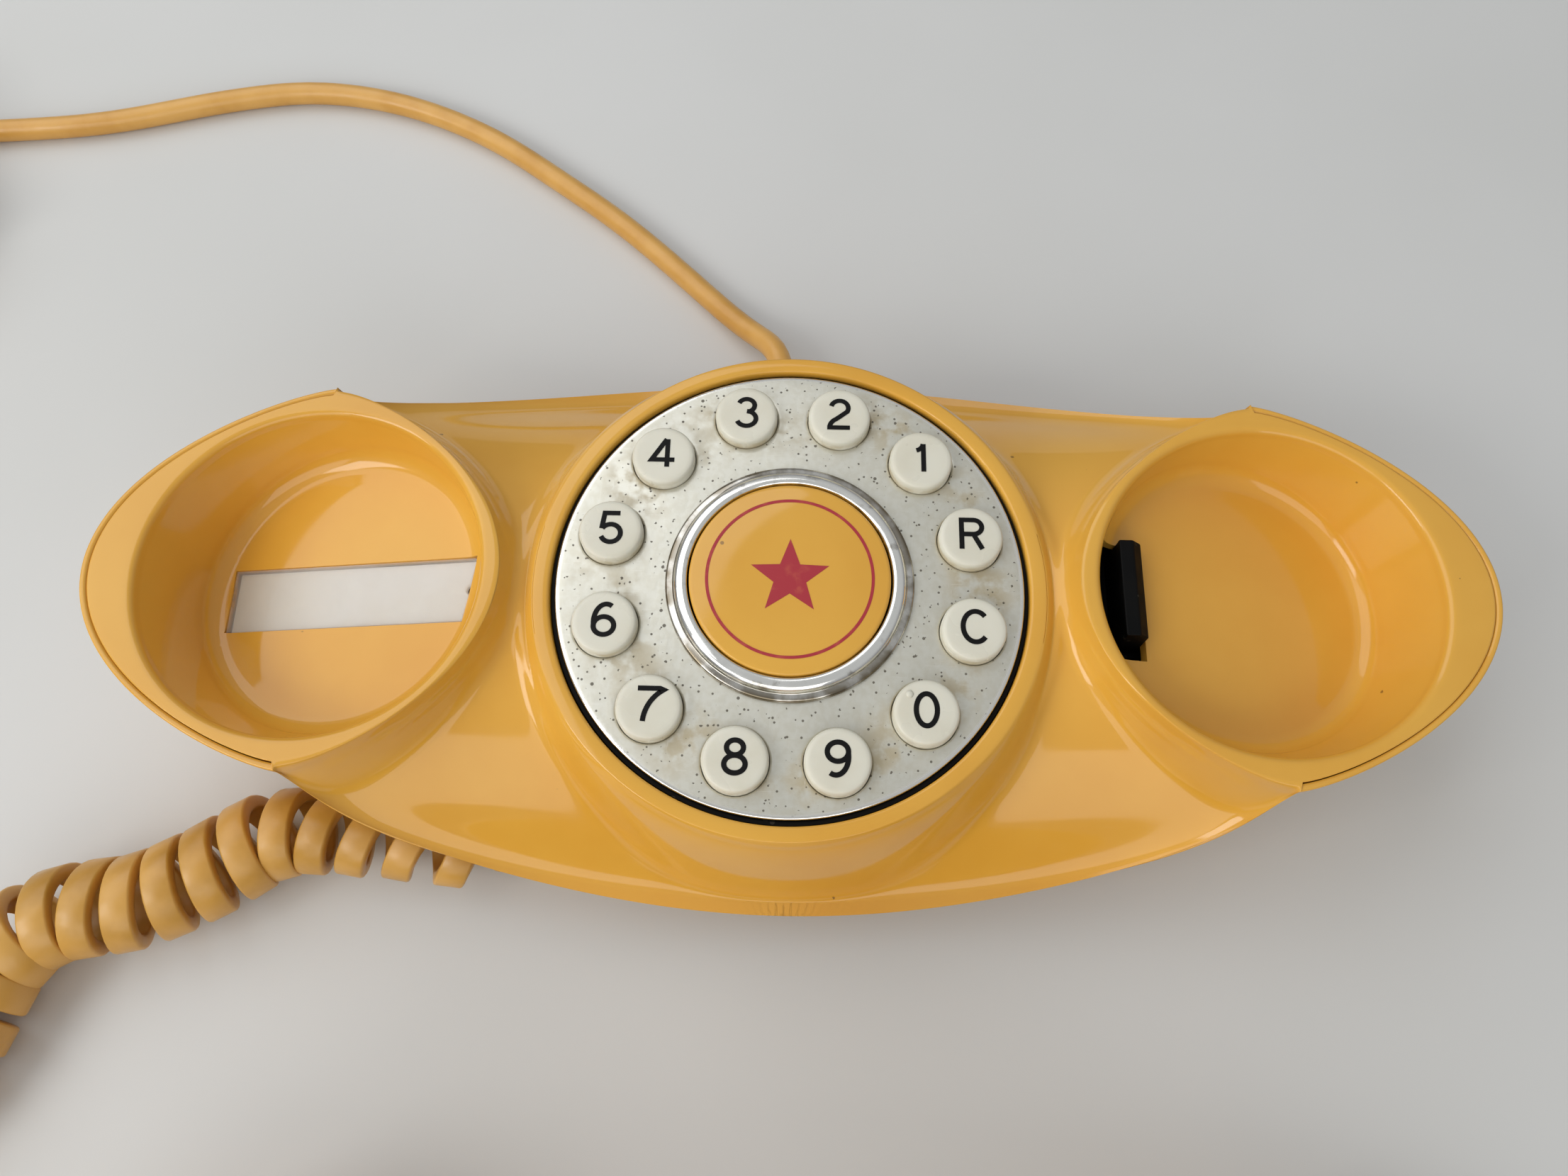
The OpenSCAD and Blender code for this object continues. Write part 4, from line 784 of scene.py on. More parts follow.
loop = body_loop(0)
top_z = rim_line_z(loop) - 0.3
base_z = -38.0
base = np.stack([loop[:, 0] * 66 / (cup_x + tip_out), loop[:, 1] * 31 / waist_y], 1)
power = 1 + 1.7 * np.clip((np.abs(loop[:, 0]) / cup_x - 0.72) / 0.55, 0, 1)
rows = [at_height(body_loop(inset), top_z - drop)
        for inset, drop in ((1.1, 3), (1.1, 0), (0.3, 0), (0.09, 0.07), (0, 0.28))]
for q in np.r_[0.02, np.linspace(0.05, 0.95, 22), 0.975]:
    out = (1 - q**power)[:, None]
    rows.append(at_height(base + (loop - base) * out, top_z + (base_z - top_z) * q))
for inward, lift in ((0.0, 0.35), (0.12, 0.1), (0.4, 0.0), (1.2, 0.0)):
    shrink = 1 - inward / np.hypot(base[:, 0], base[:, 1])[:, None]
    rows.append(at_height(base * shrink, base_z + lift))
for share in (0.75, 0.5, 0.25, 0.05):
    rows.append(at_height(base * share, base_z))
shell_rows = np.stack(rows)
columns = shell_rows.shape[1]
points = np.vstack([shell_rows.reshape(-1, 3), [[0, 0, base_z]]]) + (0, 0, rim_z)
k = np.arange(columns)
last = (len(rows) - 1) * columns
faces = [face[::-1] for face in grid_faces(len(rows), columns)]
faces += np.stack([last + (k + 1) % columns, last + k, np.full(columns, len(rows) * columns)], 1).tolist()
shell = mesh_object("lower_shell", points, faces)
shell.data.materials.append(body_finish)
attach(shell, "base")
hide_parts("bottom_shell")

# ---------------------------------------------------------------- dial plate
# A thin, slightly domed plate of brushed and lacquered metal with polished rounded edges, dropped
# into the turret's collar. Twelve holes let the keys through.
plate_r, hole_r, hole_ring = 38.0, 5.35, 30.3
plate_crown = (plate_r**2 + 0.8**2) / 1.6


def plate_z(r):
    """Height of the plate's dome, a sphere's cap 0.8 mm high, counted from the rims."""
    return -3.0 + 0.8 - (plate_crown - np.sqrt(plate_crown**2 - np.minimum(r, plate_r) ** 2))


def lathe(profile, sides, centre=(0, 0)):
    """Points and faces of a (radius, height) profile turned about an upright axis. The profile runs
    outward over the top and down the outside; a point on the axis closes its end."""
    profile = np.asarray(profile, float)
    ring = around(2 * np.pi * np.arange(sides) / sides)
    closed_first, closed_last = profile[0, 0] < 1e-6, profile[-1, 0] < 1e-6
    body = profile[int(closed_first):len(profile) - int(closed_last)]
    points = np.concatenate([at_height(r * ring + centre, z) for r, z in body])
    faces = grid_faces(len(body), sides)
    k = np.arange(sides)
    if closed_first:
        points = np.vstack([points, [(*centre, profile[0, 1])]])
        faces += np.stack([(k + 1) % sides, k, np.full(sides, len(points) - 1)], 1).tolist()
    if closed_last:
        points = np.vstack([points, [(*centre, profile[-1, 1])]])
        base = (len(body) - 1) * sides
        faces += np.stack([base + k, base + (k + 1) % sides, np.full(sides, len(points) - 1)], 1).tolist()
    return points, [face[::-1] for face in faces]


sector_points, sector_faces = [], []
half_sector = math.radians(15)
inner_r, outer_r = 17.5, plate_r - 0.45
side_r = np.linspace(inner_r, outer_r, 13)
arc = np.linspace(-half_sector, half_sector, 13)
border = np.concatenate([
    (side_r[:, None] * around(-half_sector))[:-1], (outer_r * around(arc))[:-1],
    (side_r[:, None] * around(half_sector))[:0:-1], (inner_r * around(arc))[:0:-1]])
dense = unit(border - (hole_ring, 0))
hole_rows = [(0.0, -1.5), (0.0, -0.35), (0.06, -0.14), (0.18, -0.03), (0.35, 0.0)]
hole_stack = []
for grow, drop in hole_rows:
    p = (hole_r + grow) * dense + (hole_ring, 0)
    hole_stack.append(at_height(p, plate_z(np.hypot(*p.T)) + drop))
start = (hole_r + 0.35) * dense + (hole_ring, 0)
for share in (0.12, 0.35, 0.65, 1.0):
    p = start + (border - start) * share
    hole_stack.append(at_height(p, plate_z(np.hypot(*p.T))))
sector_rows, sector_columns = len(hole_stack), len(border)
sector = np.concatenate(hole_stack)
for i in range(12):
    c, s = around(math.radians(15 + 30 * i))
    quads = grid_faces(sector_rows, sector_columns, True, i * len(sector))
    sector_faces += [face[::-1] for face in quads]
    sector_points.append(sector @ np.array([[c, s, 0], [-s, c, 0], [0, 0, 1]]))
edge_points, edge_faces = lathe([(outer_r, plate_z(outer_r)), (plate_r - 0.18, plate_z(plate_r) - 0.05),
                                 (plate_r - 0.04, -3.18), (plate_r, -3.4), (plate_r, -4.6)], 144)
offset = sum(len(block) for block in sector_points)
plate = mesh_object("plate_with_holes", np.vstack(sector_points + [edge_points]) + (0, 0, rim_z),
                    sector_faces + (np.array(edge_faces) + offset).tolist())
weld(plate, 1e-5)


def plate_metal():
    """Lacquered silver metal, dulled with age: fine scratches, dark specks and pits, beige grime round
    the keys, and a polished edge."""
    made, n, l, bsdf = new_finish("plate_metal", linear(196, 194, 184), 0.33, 1.0)
    place = place_of(n)
    x, y = parts_of(n, l, place)[:2]
    flat = n.new("ShaderNodeCombineXYZ")
    l.new(x, flat.inputs[0])
    l.new(y, flat.inputs[1])
    from_middle = length_of(n, l, flat.outputs[0])
    away = arithmetic(n, l, "ABSOLUTE", arithmetic(n, l, "SUBTRACT", from_middle, hole_ring / 1000), 0)
    band = ramp(n, l, away, 0.002, 0.0085, 1.0, 0.0)
    patchy = effect(n, l, soft_cloud, place, Scale=75.0)
    fine_patchy = ramp(n, l, noise(n, l, place, 330, 5), 0.40, 0.62)
    grime = times(n, l, times(n, l, band, patchy), fine_patchy)
    pits = effect(n, l, dust_specks, place, Scale=1100.0, Size=0.22, Share=0.54)
    crumbs = effect(n, l, dust_specks, place, Scale=520.0, Size=0.15, Share=0.60)
    pit = larger(n, l, pits, crumbs)
    lines = effect(n, l, fine_scratches, place, Scale=230.0)
    grain = ramp(n, l, noise(n, l, place, 900, 4), 0.35, 0.65)
    colour = blend_colour(n, l, grain, linear(212, 210, 198), linear(207, 204, 190))
    colour = blend_colour(n, l, times(n, l, grime, 0.8), colour, linear(170, 152, 112))
    colour = blend_colour(n, l, times(n, l, lines, 0.25), colour, linear(226, 224, 216))
    colour = blend_colour(n, l, times(n, l, pit, 0.85), colour, linear(70, 61, 44))
    edge = ramp(n, l, from_middle, 0.0371, 0.0376)
    colour = blend_colour(n, l, edge, colour, linear(232, 230, 224))
    l.new(colour, bsdf.inputs["Base Color"])
    dull = larger(n, l, times(n, l, grime, 0.5), times(n, l, pit, 0.9))
    bare = arithmetic(n, l, "SUBTRACT", 0.6, times(n, l, dull, 0.7))
    l.new(larger(n, l, bare, edge), bsdf.inputs["Metallic"])
    rough = ramp(n, l, noise(n, l, place, 60, 3), 0.3, 0.7, 0.28, 0.38)
    rough = plus(n, l, rough, times(n, l, grime, 0.2))
    l.new(arithmetic(n, l, "SUBTRACT", rough, times(n, l, edge, 0.24)), bsdf.inputs["Roughness"])
    pitted = arithmetic(n, l, "SUBTRACT", grain, times(n, l, pit, 2.0))
    relief(n, l, bsdf, pitted, 0.06, 0.0001)
    return made


plate.data.materials.append(plate_metal())
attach(plate, "base")
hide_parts("dial_plate")

# ---------------------------------------------------------------- chrome ring
# A stepped chromed ring pressed on the middle of the plate, framing the centre disc.
ring_seat = plate_z(20.1)
ring_profile = [(16.5, -2.3), (16.5, -0.42), (16.62, -0.2), (16.95, -0.07), (17.4, -0.06), (18.0, -0.22),
                (18.5, -0.55), (18.72, -0.95), (18.8, -1.32), (18.95, -1.45), (19.4, -1.48), (19.75, -1.56),
                (20.0, -1.75), (20.1, -2.0), (20.1, ring_seat - 0.1)]
points, faces = lathe(ring_profile, 160)
chrome_ring = mesh_object("ring_of_chrome", points + (0, 0, rim_z), faces)
chrome, n, l, bsdf = new_finish("ring_chrome", linear(236, 235, 230), 0.1, 1.0)
place = place_of(n)
spots = ramp(n, l, noise(n, l, place, 300, 4), 0.55, 0.72)
low_step = ramp(n, l, parts_of(n, l, place)[2], 0.0384, 0.0389, 1.0, 0.0)
soiled = times(n, l, low_step, ramp(n, l, noise(n, l, place, 240, 4), 0.3, 0.6, 0.35, 0.95))
tarnish = larger(n, l, times(n, l, spots, 0.6), soiled)
l.new(blend_colour(n, l, tarnish, linear(238, 237, 232), linear(112, 100, 78)), bsdf.inputs["Base Color"])
l.new(ramp(n, l, noise(n, l, place, 200, 4), 0.35, 0.75, 0.05, 0.24), bsdf.inputs["Roughness"])
relief(n, l, bsdf, noise(n, l, place, 700, 3), 0.08, 0.0001)
chrome_ring.data.materials.append(chrome)
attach(chrome_ring, "base")
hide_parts("centre_ring")

# ---------------------------------------------------------------- centre disc
# A flat yellow disc set in the ring with a narrow dark gap, printed in crimson with a thin ring and a
# star. The print is a thin layer of its own.
disc_profile = [(0, -0.10), (8, -0.10), (15.6, -0.11), (15.95, -0.16), (16.14, -0.32), (16.2, -0.6),
                (16.2, -2.18)]
points, faces = lathe(disc_profile, 144)
disc = mesh_object("disc_of_the_dial", points + (0, 0, rim_z), faces)
disc.data.materials.append(body_finish)
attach(disc, "base")
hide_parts("centre_disc")
print_paint, n, l, bsdf = new_finish("crimson_print", linear(168, 40, 52), 0.4)
place = place_of(n)
worn = ramp(n, l, noise(n, l, place, 420, 4), 0.5, 0.75, 0, 0.5)
l.new(blend_colour(n, l, worn, linear(170, 38, 50), linear(196, 92, 66)), bsdf.inputs["Base Color"])
print_z = -0.06
points, faces = lathe([(13.05, print_z), (13.55, print_z)], 144)
star_r = np.where(np.arange(10) % 2 == 0, 6.6, 2.75)
star = at_height(star_r[:, None] * around(np.radians(90 + 36 * np.arange(10))), print_z)
offset = len(points)
faces += [[offset + i, offset + (i + 1) % 10, offset + 10] for i in range(10)]
points = np.vstack([points, star, [[0, 0, print_z]]]) + (0, 0, rim_z)
print_layer = mesh_object("disc_print", points, faces, False)
print_layer.data.materials.append(print_paint)
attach(print_layer, "base")

# ---------------------------------------------------------------- keys
# Twelve round push keys in ivory plastic with softly rounded edges and black legends moulded in
# flush. Each slides in its own hole of the plate and springs back on a rubber mat.
key_profile = [(0, -0.46), (2.6, -0.45), (4.2, -0.42), (4.75, -0.47), (5.0, -0.62), (5.14, -0.86),
               (5.2, -1.25), (5.2, -4.9), (6.2, -4.9), (6.2, -5.9), (2.5, -5.9), (2.5, -9.5)]
key_points, key_faces = lathe(key_profile, 72)
key_plastic, n, l, bsdf = new_finish("key_plastic", linear(224, 219, 201), 0.3, IOR=1.5)
bsdf.inputs["Subsurface Weight"].default_value = 0.08
bsdf.inputs["Subsurface Radius"].default_value = (0.002, 0.0015, 0.001)
bsdf.inputs["Subsurface Scale"].default_value = 1.0
place = place_of(n)
low_edge = ramp(n, l, parts_of(n, l, place)[2], 0.0379, 0.0391, 1.0, 0.0)
grime = times(n, l, low_edge, ramp(n, l, noise(n, l, place, 260, 4), 0.35, 0.65))
cloud = ramp(n, l, noise(n, l, place, 120, 4), 0.4, 0.75, 0, 0.5)
colour = blend_colour(n, l, cloud, linear(226, 222, 205), linear(213, 206, 184))
colour = blend_colour(n, l, times(n, l, grime, 0.7), colour, linear(178, 160, 118))
l.new(colour, bsdf.inputs["Base Color"])
l.new(ramp(n, l, noise(n, l, place, 150, 3), 0.3, 0.75, 0.24, 0.42), bsdf.inputs["Roughness"])
relief(n, l, bsdf, noise(n, l, place, 300, 2), 0.08, 0.0002)
legend_ink, n, l, bsdf = new_finish("legend_black", linear(14, 13, 13), 0.5, Specular_IOR_Level=0.15)
rubbed = ramp(n, l, noise(n, l, place_of(n), 600, 3), 0.5, 0.8, 0, 0.5)
l.new(blend_colour(n, l, rubbed, linear(12, 11, 11), linear(30, 28, 26)), bsdf.inputs["Base Color"])
tall, legend_stretch, stroke_wide, legend_share = 5.3, (1.2, 1.06), 0.9, 0.9


def bow(cx, cy, rx, ry, start, stop, steps=20):
    """Part of an ellipse as a line of points, from one angle to another in degrees."""
    return around(np.radians(np.linspace(start, stop, steps))) * (rx, ry) + (cx, cy)


def line(*points):
    """A straight-sided line of points."""
    return np.array(points, float)


legend_strokes = {
    "1": [line((0.35, 0), (0.35, tall)), np.vstack([bow(-0.95, tall + 0.1, 1.25, 1.35, -5, -80, 8)])],
    "2": [np.vstack([bow(0, tall - 1.45, 1.35, 1.45, 165, -28), bow(0.4, 0.0, 1.95, 1.9, 118, 180, 8)]),
          line((-1.93, 0.0), (1.6, 0.0))],
    "3": [bow(0, tall - 1.25, 1.25, 1.25, 160, -82), bow(0, 1.45, 1.5, 1.45, 88, -160)],
    "4": [line((0.62, 0), (0.62, tall)), line((0.45, tall), (-1.75, 1.35), (1.75, 1.35))],
    "5": [line((1.35, tall), (-0.98, tall), (-1.32, 2.45)), bow(0.05, 1.62, 1.5, 1.62, 148, -158)],
    "6": [bow(0.05, 1.55, 1.5, 1.55, 0, 360, 32), bow(0.3, 2.35, 1.76, 2.95, 190, 62, 20)],
    "7": [np.vstack([line((-1.6, tall), (1.6, tall)), bow(4.6, -0.6, 5.3, 6.4, 118, 176, 12)])],
    "8": [bow(0, tall - 1.2, 1.2, 1.2, 0, 360, 28), bow(0, 1.42, 1.5, 1.42, 0, 360, 32)],
    "9": [bow(-0.05, tall - 1.55, 1.5, 1.55, 0, 360, 32), bow(-0.3, tall - 2.35, 1.76, 2.95, 10, -118, 20)],
    "0": [bow(0, tall / 2, 1.5, tall / 2, 0, 360, 40)],
    "r": [line((-1.45, 0), (-1.45, tall + 0.42)),
          np.vstack([line((-1.82, tall)), bow(0.35, tall - 1.3, 1.25, 1.3, 90, -90, 14),
                     line((-1.45, tall - 2.6))]),
          line((0.3, tall - 2.6), (1.6, 0))],
    "c": [bow(0.15, tall / 2, 1.85, tall / 2, 42, 318, 32)],
}


def ribbon(stroke, width):
    """Flat strip of a width along a stroke, with mitred corners; gives points and faces."""
    stroke = np.asarray(stroke, float)
    closed = np.linalg.norm(stroke[0] - stroke[-1]) < 1e-6
    core = stroke[:-1] if closed else stroke
    before = np.roll(core, 1, 0) if closed else np.vstack([2 * core[0] - core[1], core[:-1]])
    after = np.roll(core, -1, 0) if closed else np.vstack([core[1:], 2 * core[-1] - core[-2]])
    a, b = unit(core - before), unit(after - core)
    normal = np.stack([-(a + b)[:, 1], (a + b)[:, 0]], 1)
    normal /= np.maximum(np.linalg.norm(normal, axis=1), 1e-6)[:, None]
    reach = width / 2 / np.maximum(0.45, (normal * np.stack([-b[:, 1], b[:, 0]], 1)).sum(1))[:, None]
    left, right = core + normal * reach, core - normal * reach
    count = len(core)
    k = np.arange(count if closed else count - 1)
    j = (k + 1) % count
    return np.vstack([left, right]), np.stack([k, count + k, count + j, j], 1)


pip_profile = [(0, -0.12), (0.25, -0.14), (0.45, -0.22), (0.6, -0.36), (0.66, -0.6)]
for i, name in enumerate("r1234567890c"):
    middle = hole_ring * around(math.radians(15 + 30 * i))
    cap_points, cap_faces = key_points + (*middle, rim_z), list(key_faces)
    if name == "0":
        pip, pip_faces = lathe(pip_profile, 24, middle + (-2.6, 2.75))
        cap_faces += [[len(cap_points) + corner for corner in face] for face in pip_faces]
        cap_points = np.vstack([cap_points, pip + (0, 0, rim_z)])
    cap = mesh_object("cap_" + name, cap_points, cap_faces)
    cap.data.materials.append(key_plastic)
    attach(cap, "button_" + name)
    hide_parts("key_" + name)
    points, faces, offset = [], [], 0
    for layer, stroke in enumerate(legend_strokes[name]):
        block, block_faces = ribbon(stroke * legend_stretch, stroke_wide)
        points.append(at_height(block, 0.006 * layer))
        faces += (block_faces + offset).tolist()
        offset += len(block)
    centred = (np.vstack(points) - (0, tall * 0.53, 0)) * (legend_share, legend_share, 1)
    raised = centred + (middle[0], middle[1] + 0.3, rim_z - 0.40)
    legend = mesh_object("legend_" + name, raised, faces, False)
    legend.data.materials.append(legend_ink)
    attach(legend, "button_" + name)

# ---------------------------------------------------------------- hook plunger
# A black plastic bar that the handset presses down. It stands in a slot of the right cup's floor, its
# outer long edge cut away at a slant, and carries a flange and a stem with a spring below the floor.
hook_mid, hook_y, hook_top = 55.95, 0.6, 37.0
hook_flange = 27.27


def prism(outline, start, end, place=(0, 0, 0)):
    """Solid with an (x, z) outline, listed clockwise as seen from the front, between two values of y."""
    outline = np.asarray(outline, float)
    count = len(outline)
    front = np.column_stack([outline[:, 0], np.full(count, start), outline[:, 1]])
    back = np.column_stack([outline[:, 0], np.full(count, end), outline[:, 1]])
    k = np.arange(count)
    j = (k + 1) % count
    sides = np.stack([k, j, count + j, count + k], 1).tolist()
    ends = [list(range(count))[::-1], list(range(count, 2 * count))]
    return np.vstack([front, back]) + place, sides + ends


def joined(name, blocks, smooth=True):
    """One object from several blocks of (points, faces)."""
    points, faces, offset = [], [], 0
    for block, block_faces in blocks:
        points.append(np.asarray(block, float))
        faces += [[offset + corner for corner in face] for face in block_faces]
        offset += len(block)
    return mesh_object(name, np.vstack(points), faces, smooth)


bar = prism([(-2, hook_flange - 0.5), (-2, hook_top), (0.3, hook_top), (2, hook_top - 1.7),
             (2, hook_flange - 0.5)], -8.25, 8.25, (hook_mid, hook_y, 0))
flange = prism([(-3, hook_flange - 1.4), (-3, hook_flange), (3, hook_flange), (3, hook_flange - 1.4)],
               -9.25, 9.25, (hook_mid, hook_y, 0))
stem = lathe([(0, hook_flange - 1), (1.5, hook_flange - 1), (1.5, hook_flange - 8.4),
              (0, hook_flange - 8.9)], 24, (hook_mid, hook_y))
plunger = joined("hook_bar", [bar, flange, stem])
rounding = plunger.modifiers.new("bevel", "BEVEL")
rounding.width = 0.28 / 1000
rounding.segments = 3
rounding.limit_method = "ANGLE"
rounding.harden_normals = True


def black_plastic(name, colour, dust=0.5, roughness=0.34):
    """Black moulded plastic with a little dust, a faint film and a fine grain."""
    made, n, l, bsdf = new_finish(name, colour, roughness, IOR=1.48, Specular_IOR_Level=0.12)
    place = place_of(n)
    grey = effect(n, l, dust_specks, place, Scale=420.0, Size=0.16, Share=0.5)
    film = effect(n, l, soft_cloud, place, Scale=150.0)
    veil = larger(n, l, times(n, l, grey, dust), times(n, l, film, 0.006))
    l.new(blend_colour(n, l, veil, colour, linear(138, 132, 122)), bsdf.inputs["Base Color"])
    l.new(plus(n, l, times(n, l, film, 0.16), roughness), bsdf.inputs["Roughness"])
    relief(n, l, bsdf, noise(n, l, place, 800, 3), 0.1, 0.0001)
    return made


plunger.data.materials.append(black_plastic("plunger_black", linear(4, 4, 4), 0.1, 0.5))
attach(plunger, "hook")
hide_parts("hook_plunger")


def refinish(finish, *names):
    """Gives CAD nodes their finish."""
    for name in names:
        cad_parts[name].data.materials.clear()
        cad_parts[name].data.materials.append(finish)


carrier_black = black_plastic("carrier_black", linear(14, 13, 12), 0.15, 0.5)
refinish(carrier_black, "key_carrier", "hook_bracket")
switch_black = black_plastic("switch_black", linear(38, 38, 42), 0.1, 0.45)
refinish(switch_black, "hook_switch", "board_parts", "ringer")

# ---------------------------------------------------------------- label
# A paper card, a little yellowed, in a shallow pocket of the left cup's floor, under a clear plastic
# window whose inner end is slanted and has a small half-round notch to lift it by. The card's colour is
# painted darker toward its outer end, a painted shadow of the cup's wall.
label_long, label_half, label_slant = 45.4, 5.55, 1.7


def on_label(points):
    """Points given in the label's own frame, moved to its place on the sloping floor."""
    return tilted(points, label_tilt) + label_place


def label_outline(inset):
    """Outline of the label, clockwise from above, moved inward, with the notch in its inner end."""
    right_top, right_low = label_long - inset, label_long - label_slant - inset
    middle_x = (right_top + right_low) / 2 + 0.1
    notch = 0.85 * around(np.radians(np.linspace(100, 260, 13))) + (middle_x, 0)
    top, low = label_half - inset, inset - label_half
    return np.vstack([[(inset, low), (inset, top), (right_top - 0.5, top), (right_top - 0.1, top - 0.15),
                       (right_top, top - 0.5)], notch, [(right_low, low)]])


def sheet_from(outline, low, high):
    """Solid slab with the outline, clockwise from above, between two heights, its upper edge chamfered."""
    count = len(outline)
    middle = outline.mean(0)
    shrink = middle + (outline - middle) * (1 - 0.25 / np.linalg.norm(outline - middle, axis=1))[:, None]
    rings = [at_height(outline, low), at_height(outline, high - 0.2), at_height(shrink, high)]
    k = np.arange(count)
    j = (k + 1) % count
    faces = []
    for under, over in ((0, count), (count, 2 * count)):
        faces += np.stack([under + k, over + k, over + j, under + j], 1).tolist()
    return np.vstack(rings), faces + [list(range(2 * count, 3 * count))[::-1], list(range(count))]


points, faces = sheet_from(label_outline(0.0), -1.1, -0.1)
window = mesh_object("label_cover", on_label(points), faces, False)
clear, n, l, bsdf = new_finish("clear_window", linear(245, 243, 236), 0.06, IOR=1.49)
place = place_of(n)
haze = effect(n, l, soft_cloud, place, Scale=70.0)
lines = effect(n, l, fine_scratches, place, Scale=200.0)
l.new(plus(n, l, times(n, l, haze, 0.10), times(n, l, lines, 0.25)), bsdf.inputs["Roughness"])
l.new(plus(n, l, times(n, l, haze, 0.10), 0.16), bsdf.inputs["Alpha"])
window.data.materials.append(clear)
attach(window, "base")
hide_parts("label_window")
points, faces = sheet_from(label_outline(0.25), -1.4, -1.12)
card = mesh_object("label_paper", on_label(points), faces, False)
paper, n, l, bsdf = new_finish("label_paper", linear(222, 217, 210), 0.8)
place = place_of(n)
# Painted shadow: the card darkens toward its outer end, where the cup's wall shades it; patchy yellowing is
# mixed in.
outer_end_shadow = ramp(n, l, parts_of(n, l, place)[0], -0.098, -0.070, 1.0, 0.0)
stain = effect(n, l, soft_cloud, place, Scale=60.0)
shadow_and_yellowing = larger(n, l, times(n, l, outer_end_shadow, 0.8), times(n, l, stain, 0.35))
l.new(blend_colour(n, l, shadow_and_yellowing, linear(223, 219, 214), linear(205, 190, 158)), bsdf.inputs["Base Color"])
relief(n, l, bsdf, noise(n, l, place, 2500, 4), 0.2, 0.0001)
card.data.materials.append(paper)
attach(card, "base")
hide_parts("label_card")

# ---------------------------------------------------------------- cord sleeves
# Tapered sleeves of soft yellow plastic, pressed into bosses of the lower shell and of the handset.
# Each has a collar and ringed grooves that let it bend.
def turned_part(profile, sides, place, heading):
    """A profile turned about an axis through a place, along a level heading in degrees."""
    points, faces = lathe(profile, sides)
    return points @ np.stack([level_way(heading + 90), (0, 0, 1), level_way(heading)]) + place, faces


def sleeve(hole, tip, long, collar, start, cord_hole):
    """Profile of a sleeve, from the radii of its hole in the boss, its tip, its collar and the cord's hole,
    its length, and where it starts inside the boss."""
    rows = [(cord_hole, long - 1), (cord_hole, long), (tip - 0.35, long), (tip - 0.1, long - 0.1),
            (tip, long - 0.35)]
    for ring in range(4):
        q = (ring + 1) / 5
        r = tip + (collar - tip) * q
        at = long - 0.35 - (long - 5) * q
        rows += [(r - 0.05, at + 0.75), (r, at + 0.5), (r - 0.42, at + 0.35), (r - 0.42, at - 0.35),
                 (r + 0.06, at - 0.5)]
    return rows + [(collar - 0.1, 4.3), (collar, 4.0), (collar, 3.0), (collar - 0.2, 2.75), (hole, 2.7),
                   (hole, start)]


def boss(hole):
    """Profile of a short tubular boss round a sleeve."""
    return [(hole, -4), (hole, 2.2), (hole + 0.2, 2.4), (hole + 1.2, 2.4), (hole + 1.55, 2.2),
            (hole + 1.6, 1.9), (hole + 1.6, -5)]


line_profile = sleeve(3.15, 2.95, cord_sleeve, 3.85, -4.8, 2.3)
curl_profile = sleeve(3.1, 2.8, curl_sleeve_long, 3.8, -4.8, 1.6)
line_sleeve = joined("line_sleeve", [turned_part(line_profile, 40, cord_exit, cord_heading)])
curl_sleeve = joined("curl_sleeve", [turned_part(curl_profile, 40, curl_exit, curl_heading)])
bosses = joined("cord_bosses", [turned_part(boss(3.25), 40, cord_exit, cord_heading),
                                turned_part(boss(3.2), 40, curl_exit, curl_heading)])
hand_tip_x, hand_y, hand_low = -(cup_x + tip_out), -131.0, 8.0
hand_profile = [(1.6, 11.7), (1.6, 12.7), (2.35, 12.7), (2.6, 12.6), (2.72, 12.3), (2.95, 9.0), (3.0, 8.8),
                (2.65, 8.6), (2.65, 8.0), (3.1, 7.8), (3.2, 6.2), (2.85, 6.0), (2.85, 5.4), (3.35, 5.2),
                (3.5, 3.2), (3.5, 0.9), (3.3, 0.6), (2.4, 0.5), (2.4, -7)]
hand_exit = (hand_tip_x, hand_y, hand_low + 4.5)
hand_sleeve = joined("handset_sleeve", [turned_part(hand_profile, 40, hand_exit, 180)])
sleeve_finish = cord_plastic("sleeve_plastic", linear(228, 172, 86), linear(210, 150, 64))
for thing, body, node in ((line_sleeve, "base", "line_relief"), (curl_sleeve, "base", "curl_relief_base"),
                          (hand_sleeve, "handset", "curl_relief_handset"), (bosses, "base", None)):
    thing.data.materials.append(sleeve_finish if node else body_finish)
    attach(thing, body)
    if node:
        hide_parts(node)

# ---------------------------------------------------------------- coil tie
# A black plastic strip bent over the coil of spare line cord, to hold its turns together.
tie_half, tie_top, tie_round = 7.9, 19.6, 3.0
bend = tie_round * around(np.radians(np.linspace(180, 90, 9))) + (tie_round - tie_half, tie_top - tie_round)
left_side = np.vstack([[(-tie_half, 0.1), (-tie_half, 6), (-tie_half, 12)], bend])
tie_line = np.vstack([left_side, left_side[::-1] * (-1, 1)])
tie_path = tie_line[:, [0, 0, 1]] * (1, 0, 1) + (coil_centre[0] + 27, coil_centre[1], 0)
points, faces = swept(tie_path, (0, 1, 0), rounded_band(1.1, 5.0, 0.3))
tie = mesh_object("tie_strip", points, faces)
tie.data.materials.append(black_plastic("tie_black", linear(36, 35, 34), 0.4, 0.5))
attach(tie, "base")
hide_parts("coil_tie")

# ---------------------------------------------------------------- wall plug
# A flat ivory plug with a moulded body, finger ribs on both faces, a tapered nose for the cord, and a
# tongue that carries gilt contact strips.
plug_x, plug_back, plug_mid = coil_centre[0] - tail_radius, 61.0, 9.05


